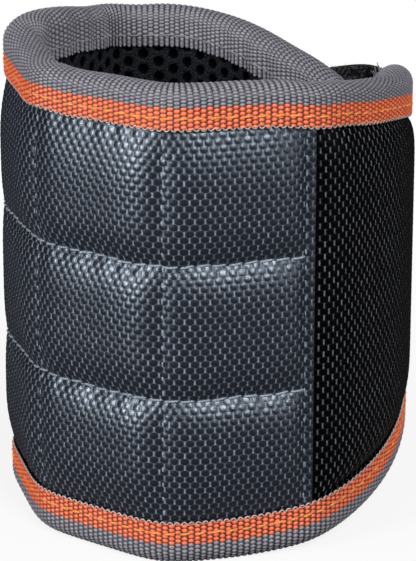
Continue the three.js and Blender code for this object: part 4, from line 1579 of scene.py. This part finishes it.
class WRISTBAND_OT_closure(bpy.types.Operator):
    """Make the closing strap, its hook strip and the loop pile on the wrap"""

    bl_idname = "wristband.closure"
    bl_label = "Closing strap"

    def execute(self, context):
        strap = context.scene.wristband_strap
        cloth = context.scene.wristband_cloth
        plan = the_plan()
        line = StrapLine(plan, strap)
        half = strap.thickness / 2
        nap = finishes()["strap_nap"]
        obj = line.strip("napped_strap", (-strap.sewn_in, line.length), -half, half, 0, NAP_HEIGHT)
        finish_piece(obj, nap, ["closing_strap"])
        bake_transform(obj)

        fuzz = add_object("strap_fuzz", obj.data.copy())
        self.mark(fuzz, (0, 1))
        hair = finishes()["strap_hair"]
        with_fibres(fuzz, HAIR, cloth.hairs_per_area, cloth.seed + 2, hair, on_ground=False)
        finish_piece(fuzz, hair)
        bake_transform(fuzz)

        hook_face = -half - strap.clearance
        span = (line.length - strap.contact, line.length - strap.hook_margin)
        hooks = line.strip("hooks", span, hook_face - HOOK_BASE, hook_face, strap.hook_margin, 0.0)
        self.mark(hooks, (0,))
        with_fibres(hooks, HOOK, 1 / strap.hook_pitch**2, cloth.seed, nap, on_ground=True)
        finish_piece(hooks, nap, ["hook_strip"])
        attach(hooks, "closure_strap")

        pile = self.loop_field(plan, strap)
        with_fibres(pile, LOOP, cloth.loops_per_area, cloth.seed + 1, nap, on_ground=True)
        finish_piece(pile, nap, ["loop_pile"])
        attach(pile, "rear_wrap")
        return {"FINISHED"}

    def mark(self, obj, sides):
        """Marks the front (1) or the back (0) of a strip, or both, for its nap."""
        facing = obj.data.attributes["front"]
        values = np.zeros(len(obj.data.vertices), np.float32)
        facing.data.foreach_get("value", values)
        nap = obj.data.attributes.new("nap", "FLOAT", "POINT")
        nap.data.foreach_set("value", np.isin(values, sides).astype(np.float32))

    def loop_field(self, plan, strap):
        """The ground of the loop pile, with its front marked."""
        margin = strap.loop_margin
        end = plan.length - CLOTH_END - plan.sizes.end_tape
        s = steps(plan.wrap_seam + margin, end, LOOP_STEP, 1)
        low = plan.face(s, -1)[:, None] + margin
        high = plan.face(s, 1)[:, None] - margin
        z = low + (high - low) * np.linspace(0, 1, LOOP_ROWS)
        face = strap.clearance + LOOP_FACE + LOOP_WAVE * nap_wave(s[:, None], z, PILE_WAVES)
        rings = sheet_rings(plan, s, z, face, flat_at(LOOP_BACK), LOOP_ROWS)
        front = np.concatenate([np.ones_like(z), np.zeros_like(z)], axis=1)
        obj = loft("loop_field", rings, s, around_lengths(rings[0]), extra={"front": front})
        self.mark(obj, (1,))
        return obj


# Steps along a sewn line, and how far the quilt's edge stitch lies inside the hem.
LINE_STEP = 0.5 * MM
HEM_STITCH = 0.05 * MM

# How deep each thread's line lies in the tape, and how far the inner seam is from the tape's inner edge.
STRIPE_SUNK = 0.16 * MM
FRINGE_SUNK = 0.3 * MM
LINING_SUNK = 0.05 * MM
LINING_SEAM = 2.3 * MM

# The inner seam's thread as a share of the others, and the fringe's yarn and the distance of its loops.
LINING_THREAD = 0.8
FRINGE_RADIUS = 0.15 * MM
FRINGE_PITCH = 1.3 * MM


class WRISTBAND_OT_stitches(bpy.types.Operator):
    """Sew the quilt and the rim tapes, with the fringe along their outer edges"""

    bl_idname = "wristband.stitches"
    bl_label = "Stitches"

    def execute(self, context):
        cloth = context.scene.wristband_cloth
        plan = the_plan()
        tree = stitch_tree()
        self.quilt(plan, cloth, tree)
        closing = plan.sizes.tape_closing
        spans = {
            "front": (closing, plan.join, bend_at_flap),
            "rear": (plan.join, plan.length - closing, bend_at_wrap),
        }
        for place, up in (("upper", 1), ("lower", -1)):
            for end, (start, stop, bend) in spans.items():
                s = np.arange(start, stop, LINE_STEP)
                for name, (line, finish, *sizes) in self.tape(plan, cloth, s, up).items():
                    title = f"{place}_{name}_{end}"
                    thread = thread_line(title, [line], tree, finishes()[finish], *sizes)
                    bend(thread)
        return {"FINISHED"}

    def quilt(self, plan, cloth, tree):
        """The quilt's row seams and its upright ones."""
        hem = HEM_STITCH + plan.sizes.hem
        first, last = plan.flap_seam + hem, plan.wrap_seam - hem

        def on_quilt(s, z):
            return plan.path.point(s, quilt_height(plan, s, z), z), plan.path.outwards(s)

        s = np.arange(first, last, LINE_STEP)
        rows = [on_quilt(s, seam_line(plan, s, level)) for level in (plan.low_seam, plan.high_seam)]
        columns = []
        for seam in (first, *plan.seams[1:-1], last):
            z = np.arange(plan.face(seam, -1) + LINE_STEP, plan.face(seam, 1) - LINE_STEP, LINE_STEP)
            columns.append(on_quilt(np.full_like(z, seam), z))
        seams = {"row_thread": (rows, ROW_STITCH), "column_thread": (columns, COLUMN_STITCH)}
        material = finishes()["seam_thread"]
        for name, (lines, lie) in seams.items():
            thread = thread_line(name, lines, tree, material, cloth.thread / 2, cloth.stitch, lie)
            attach(thread, "magnet_band")

    def tape(self, plan, cloth, s, up):
        """The threads along a rim tape: points with their directions, finish, radius, stitch and lie."""
        sizes = plan.sizes
        point = plan.path.point
        out = plan.path.outwards(s)
        edge = plan.face(s, up)
        stripe = point(s, sizes.tape_face - STRIPE_SUNK, edge + up * (cloth.stripe / 2))
        fringe = point(s, sizes.tape_face - FRINGE_SUNK, edge)
        off_rim = np.broadcast_to([0, 0, -up], fringe.shape)
        inner_z = plan.rim(s, up) - up * (sizes.tape_inside - LINING_SEAM)
        lining = point(s, LINING_SUNK - sizes.tape_back - plan.slack(s), inner_z)
        thread = cloth.thread / 2
        thin = LINING_THREAD * thread
        return {
            "tape_thread": ((stripe, out), "stripe_thread", thread, cloth.stitch, STRIPE_STITCH),
            "tape_fringe": ((fringe, off_rim), "fringe_yarn", FRINGE_RADIUS, FRINGE_PITCH, FRINGE_LOOP),
            "lining_thread": ((lining, -out), "lining_thread", thin, cloth.stitch, LINING_STITCH),
        }


# The frayed yarns: how many, the points along one, how far in from the end it starts and how it leans up.
YARNS = 26
YARN_POINTS = 6
YARN_START = 0.4 * MM
YARN_LEAN = np.array([0, 0, 0.7 * MM])

# A yarn's place across the tape, as a share of its width, and in millimetres its depth under the rim, its
# reach out of the end, how far it strays and how far it curls.
YARN_ACROSS = (-0.3, 0.3)
YARN_DEPTH = (0.3, 2.4)
YARN_REACH = (0.6, 1.8)
YARN_STRAY = (-0.8, 0.8)
YARN_CURL = (-0.6, 0.9)

# A frayed yarn's radius, as a share of the sewing thread's diameter.
YARN_RADIUS = 0.2


class WRISTBAND_OT_frayed_end(bpy.types.Operator):
    """Let the yarns of the upper tape fray at the flap's end"""

    bl_idname = "wristband.frayed_end"
    bl_label = "Frayed end"

    def execute(self, context):
        sizes = context.scene.wristband_sizes
        cloth = context.scene.wristband_cloth
        plan = the_plan()
        random = np.random.default_rng(cloth.seed)
        share_along = np.linspace(0, 1, YARN_POINTS)[:, None]
        back = StrapLine.backwards(plan.path, 0.0)
        middle = (sizes.tape_face - sizes.tape_back) / 2
        lines = []
        for _ in range(YARNS):
            across = middle + random.uniform(*YARN_ACROSS) * (sizes.tape_face + sizes.tape_back)
            root = plan.path.point(YARN_START, across, plan.rim(0.0, 1) - random.uniform(*YARN_DEPTH) * MM)
            reach = YARN_LEAN + back * random.uniform(*YARN_REACH) * MM + random.uniform(*YARN_STRAY, 3) * MM
            curl = random.uniform(*YARN_CURL, 3) * MM
            points = root + share_along * reach + share_along**2 * curl
            lines.append((points, np.zeros_like(points)))
        radius = YARN_RADIUS * cloth.thread
        yarn = finishes()["lining_thread"]
        tuft = thread_line("frayed_yarns", lines, stitch_tree(), yarn, radius, cloth.stitch, LOOSE_YARN)
        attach(tuft, "end_flap")
        return {"FINISHED"}


class WRISTBAND_OT_magnets(bpy.types.Operator):
    """Give the magnets their plating"""

    bl_idname = "wristband.magnets"
    bl_label = "Magnets"

    def execute(self, context):
        plating = finishes()["magnet_nickel"]
        for name, node in frame["nodes"].items():
            if name.startswith("magnet_row"):
                node.data.materials.clear()
                node.data.materials.append(plating)
        return {"FINISHED"}


# Stage

# The floor's reach in metres, the shade that lights the part from below and the shade that is seen.
FLOOR_REACH = 3.0
FLOOR_BOUNCE = (0.15, 0.15, 0.15, 1)
FLOOR_SHADE = (0.9, 0.9, 0.9, 1)

# Away from the part, between these distances in metres, the floor is mixed with white by these shares.
FLOOR_FADE = {"From_Min": 0.05, "From_Max": 0.20, "To_Min": 0.86, "To_Max": 1.0}

# The room as it is seen, and the camera's sensor in millimetres and nearest distance in metres.
ROOM_WHITE = (1, 1, 1, 1)
SENSOR = 36
NEAREST = 0.01


def seen_by_camera(tree, output, lighting, shown):
    """Lights the part with one shader and shows the camera another."""
    seen = add_node(tree, "ShaderNodeLightPath").outputs["Is Camera Ray"]
    mix = add_node(tree, "ShaderNodeMixShader", _0=seen, _1=lighting.outputs[0], _2=shown.outputs[0])
    add_node(tree, output, Surface=mix.outputs[0])


class WRISTBAND_OT_stage(bpy.types.Operator):
    """Set the floor, the lamps and the camera"""

    bl_idname = "wristband.stage"
    bl_label = "Stage"

    def execute(self, context):
        stage = context.scene.wristband_stage
        self.floor()
        self.world(stage)
        target = Vector((0, 0, context.scene.wristband_sizes.band_height / 2))
        self.lamp("key", stage.key_power, stage.key_size, stage.key_place, target)
        self.lamp("overhead", stage.top_power, stage.top_size, stage.top_place, target)
        self.lamp("fill", stage.fill_power, stage.fill_size, stage.fill_place, target)
        lens = bpy.data.cameras.new("camera")
        lens.lens = stage.focal_length
        lens.sensor_width = SENSOR
        lens.clip_start = NEAREST
        camera = add_object("camera", lens)
        camera.location = stage.camera_place
        camera.rotation_euler = (math.pi / 2 - stage.camera_pitch, 0, 0)
        context.scene.camera = camera
        context.scene.view_settings.view_transform = "Standard"
        return {"FINISHED"}

    def floor(self):
        """A pale floor that keeps the part's shadow and fades to white around it."""
        mesh = bpy.data.meshes.new("floor")
        far = FLOOR_REACH
        mesh.from_pydata([(-far, -far, 0), (far, -far, 0), (far, far, 0), (-far, far, 0)], [], [(0, 1, 2, 3)])
        floor = add_object("floor", mesh)
        material = bpy.data.materials.new("pale_floor")
        material.use_nodes = True
        tree = material.node_tree
        tree.nodes.clear()
        bounce = add_node(tree, "ShaderNodeBsdfDiffuse", Color=FLOOR_BOUNCE)
        matte = add_node(tree, "ShaderNodeBsdfDiffuse", Color=FLOOR_SHADE)
        white = add_node(tree, "ShaderNodeEmission")
        place = add_node(tree, "ShaderNodeTexCoord").outputs["Object"]
        away = add_node(tree, "ShaderNodeVectorMath", {"operation": "LENGTH"}, _0=place).outputs["Value"]
        fade = add_node(tree, "ShaderNodeMapRange", Value=away, **FLOOR_FADE).outputs[0]
        shown = add_node(tree, "ShaderNodeMixShader", _0=fade, _1=matte.outputs[0], _2=white.outputs[0])
        seen_by_camera(tree, "ShaderNodeOutputMaterial", bounce, shown)
        mesh.materials.append(material)

    def world(self, stage):
        """A dim room that the camera sees as white."""
        world = bpy.data.worlds.new("studio")
        bpy.context.scene.world = world
        world.use_nodes = True
        tree = world.node_tree
        tree.nodes.clear()
        room = add_node(tree, "ShaderNodeBackground", Strength=stage.room_light)
        white = add_node(tree, "ShaderNodeBackground", Color=ROOM_WHITE)
        seen_by_camera(tree, "ShaderNodeOutputWorld", room, white)

    def lamp(self, name, power, size, place, target):
        light = bpy.data.lights.new(name, "AREA")
        light.energy = power
        light.size = size
        lamp = add_object(name, light)
        lamp.location = place
        lamp.rotation_euler = (target - place).to_track_quat("-Z", "Y").to_euler()


OPERATORS = (
    WRISTBAND_OT_stage,
    WRISTBAND_OT_quilt,
    WRISTBAND_OT_panels,
    WRISTBAND_OT_rim_tapes,
    WRISTBAND_OT_end_tapes,
    WRISTBAND_OT_lining,
    WRISTBAND_OT_filling,
    WRISTBAND_OT_closure,
    WRISTBAND_OT_stitches,
    WRISTBAND_OT_frayed_end,
    WRISTBAND_OT_magnets,
)


class WRISTBAND_PT_panel(bpy.types.Panel):
    """Lists the steps and the sizes"""

    bl_label = "Wristband"
    bl_idname = "WRISTBAND_PT_panel"
    bl_space_type = "VIEW_3D"
    bl_region_type = "UI"
    bl_category = "Wristband"

    def draw(self, context):
        for operator in OPERATORS:
            self.layout.operator(operator.bl_idname)
        for group, kind in GROUPS.items():
            box = self.layout.box()
            box.label(text=kind.__doc__)
            for name in kind.__annotations__:
                box.prop(getattr(context.scene, group), name)


CLASSES = (*GROUPS.values(), *OPERATORS, WRISTBAND_PT_panel)


def register():
    for item in CLASSES:
        bpy.utils.register_class(item)
    for name, kind in GROUPS.items():
        setattr(bpy.types.Scene, name, PointerProperty(type=kind))


def unregister():
    for name in GROUPS:
        delattr(bpy.types.Scene, name)
    for item in reversed(CLASSES):
        bpy.utils.unregister_class(item)


def main():
    register()
    bpy.ops.wristband.stage()
    bpy.ops.wristband.quilt()
    bpy.ops.wristband.panels()
    bpy.ops.wristband.rim_tapes()
    bpy.ops.wristband.end_tapes()
    bpy.ops.wristband.lining()
    bpy.ops.wristband.filling()
    bpy.ops.wristband.closure()
    bpy.ops.wristband.stitches()
    bpy.ops.wristband.frayed_end()
    bpy.ops.wristband.magnets()


if __name__ == "__main__":
    main()
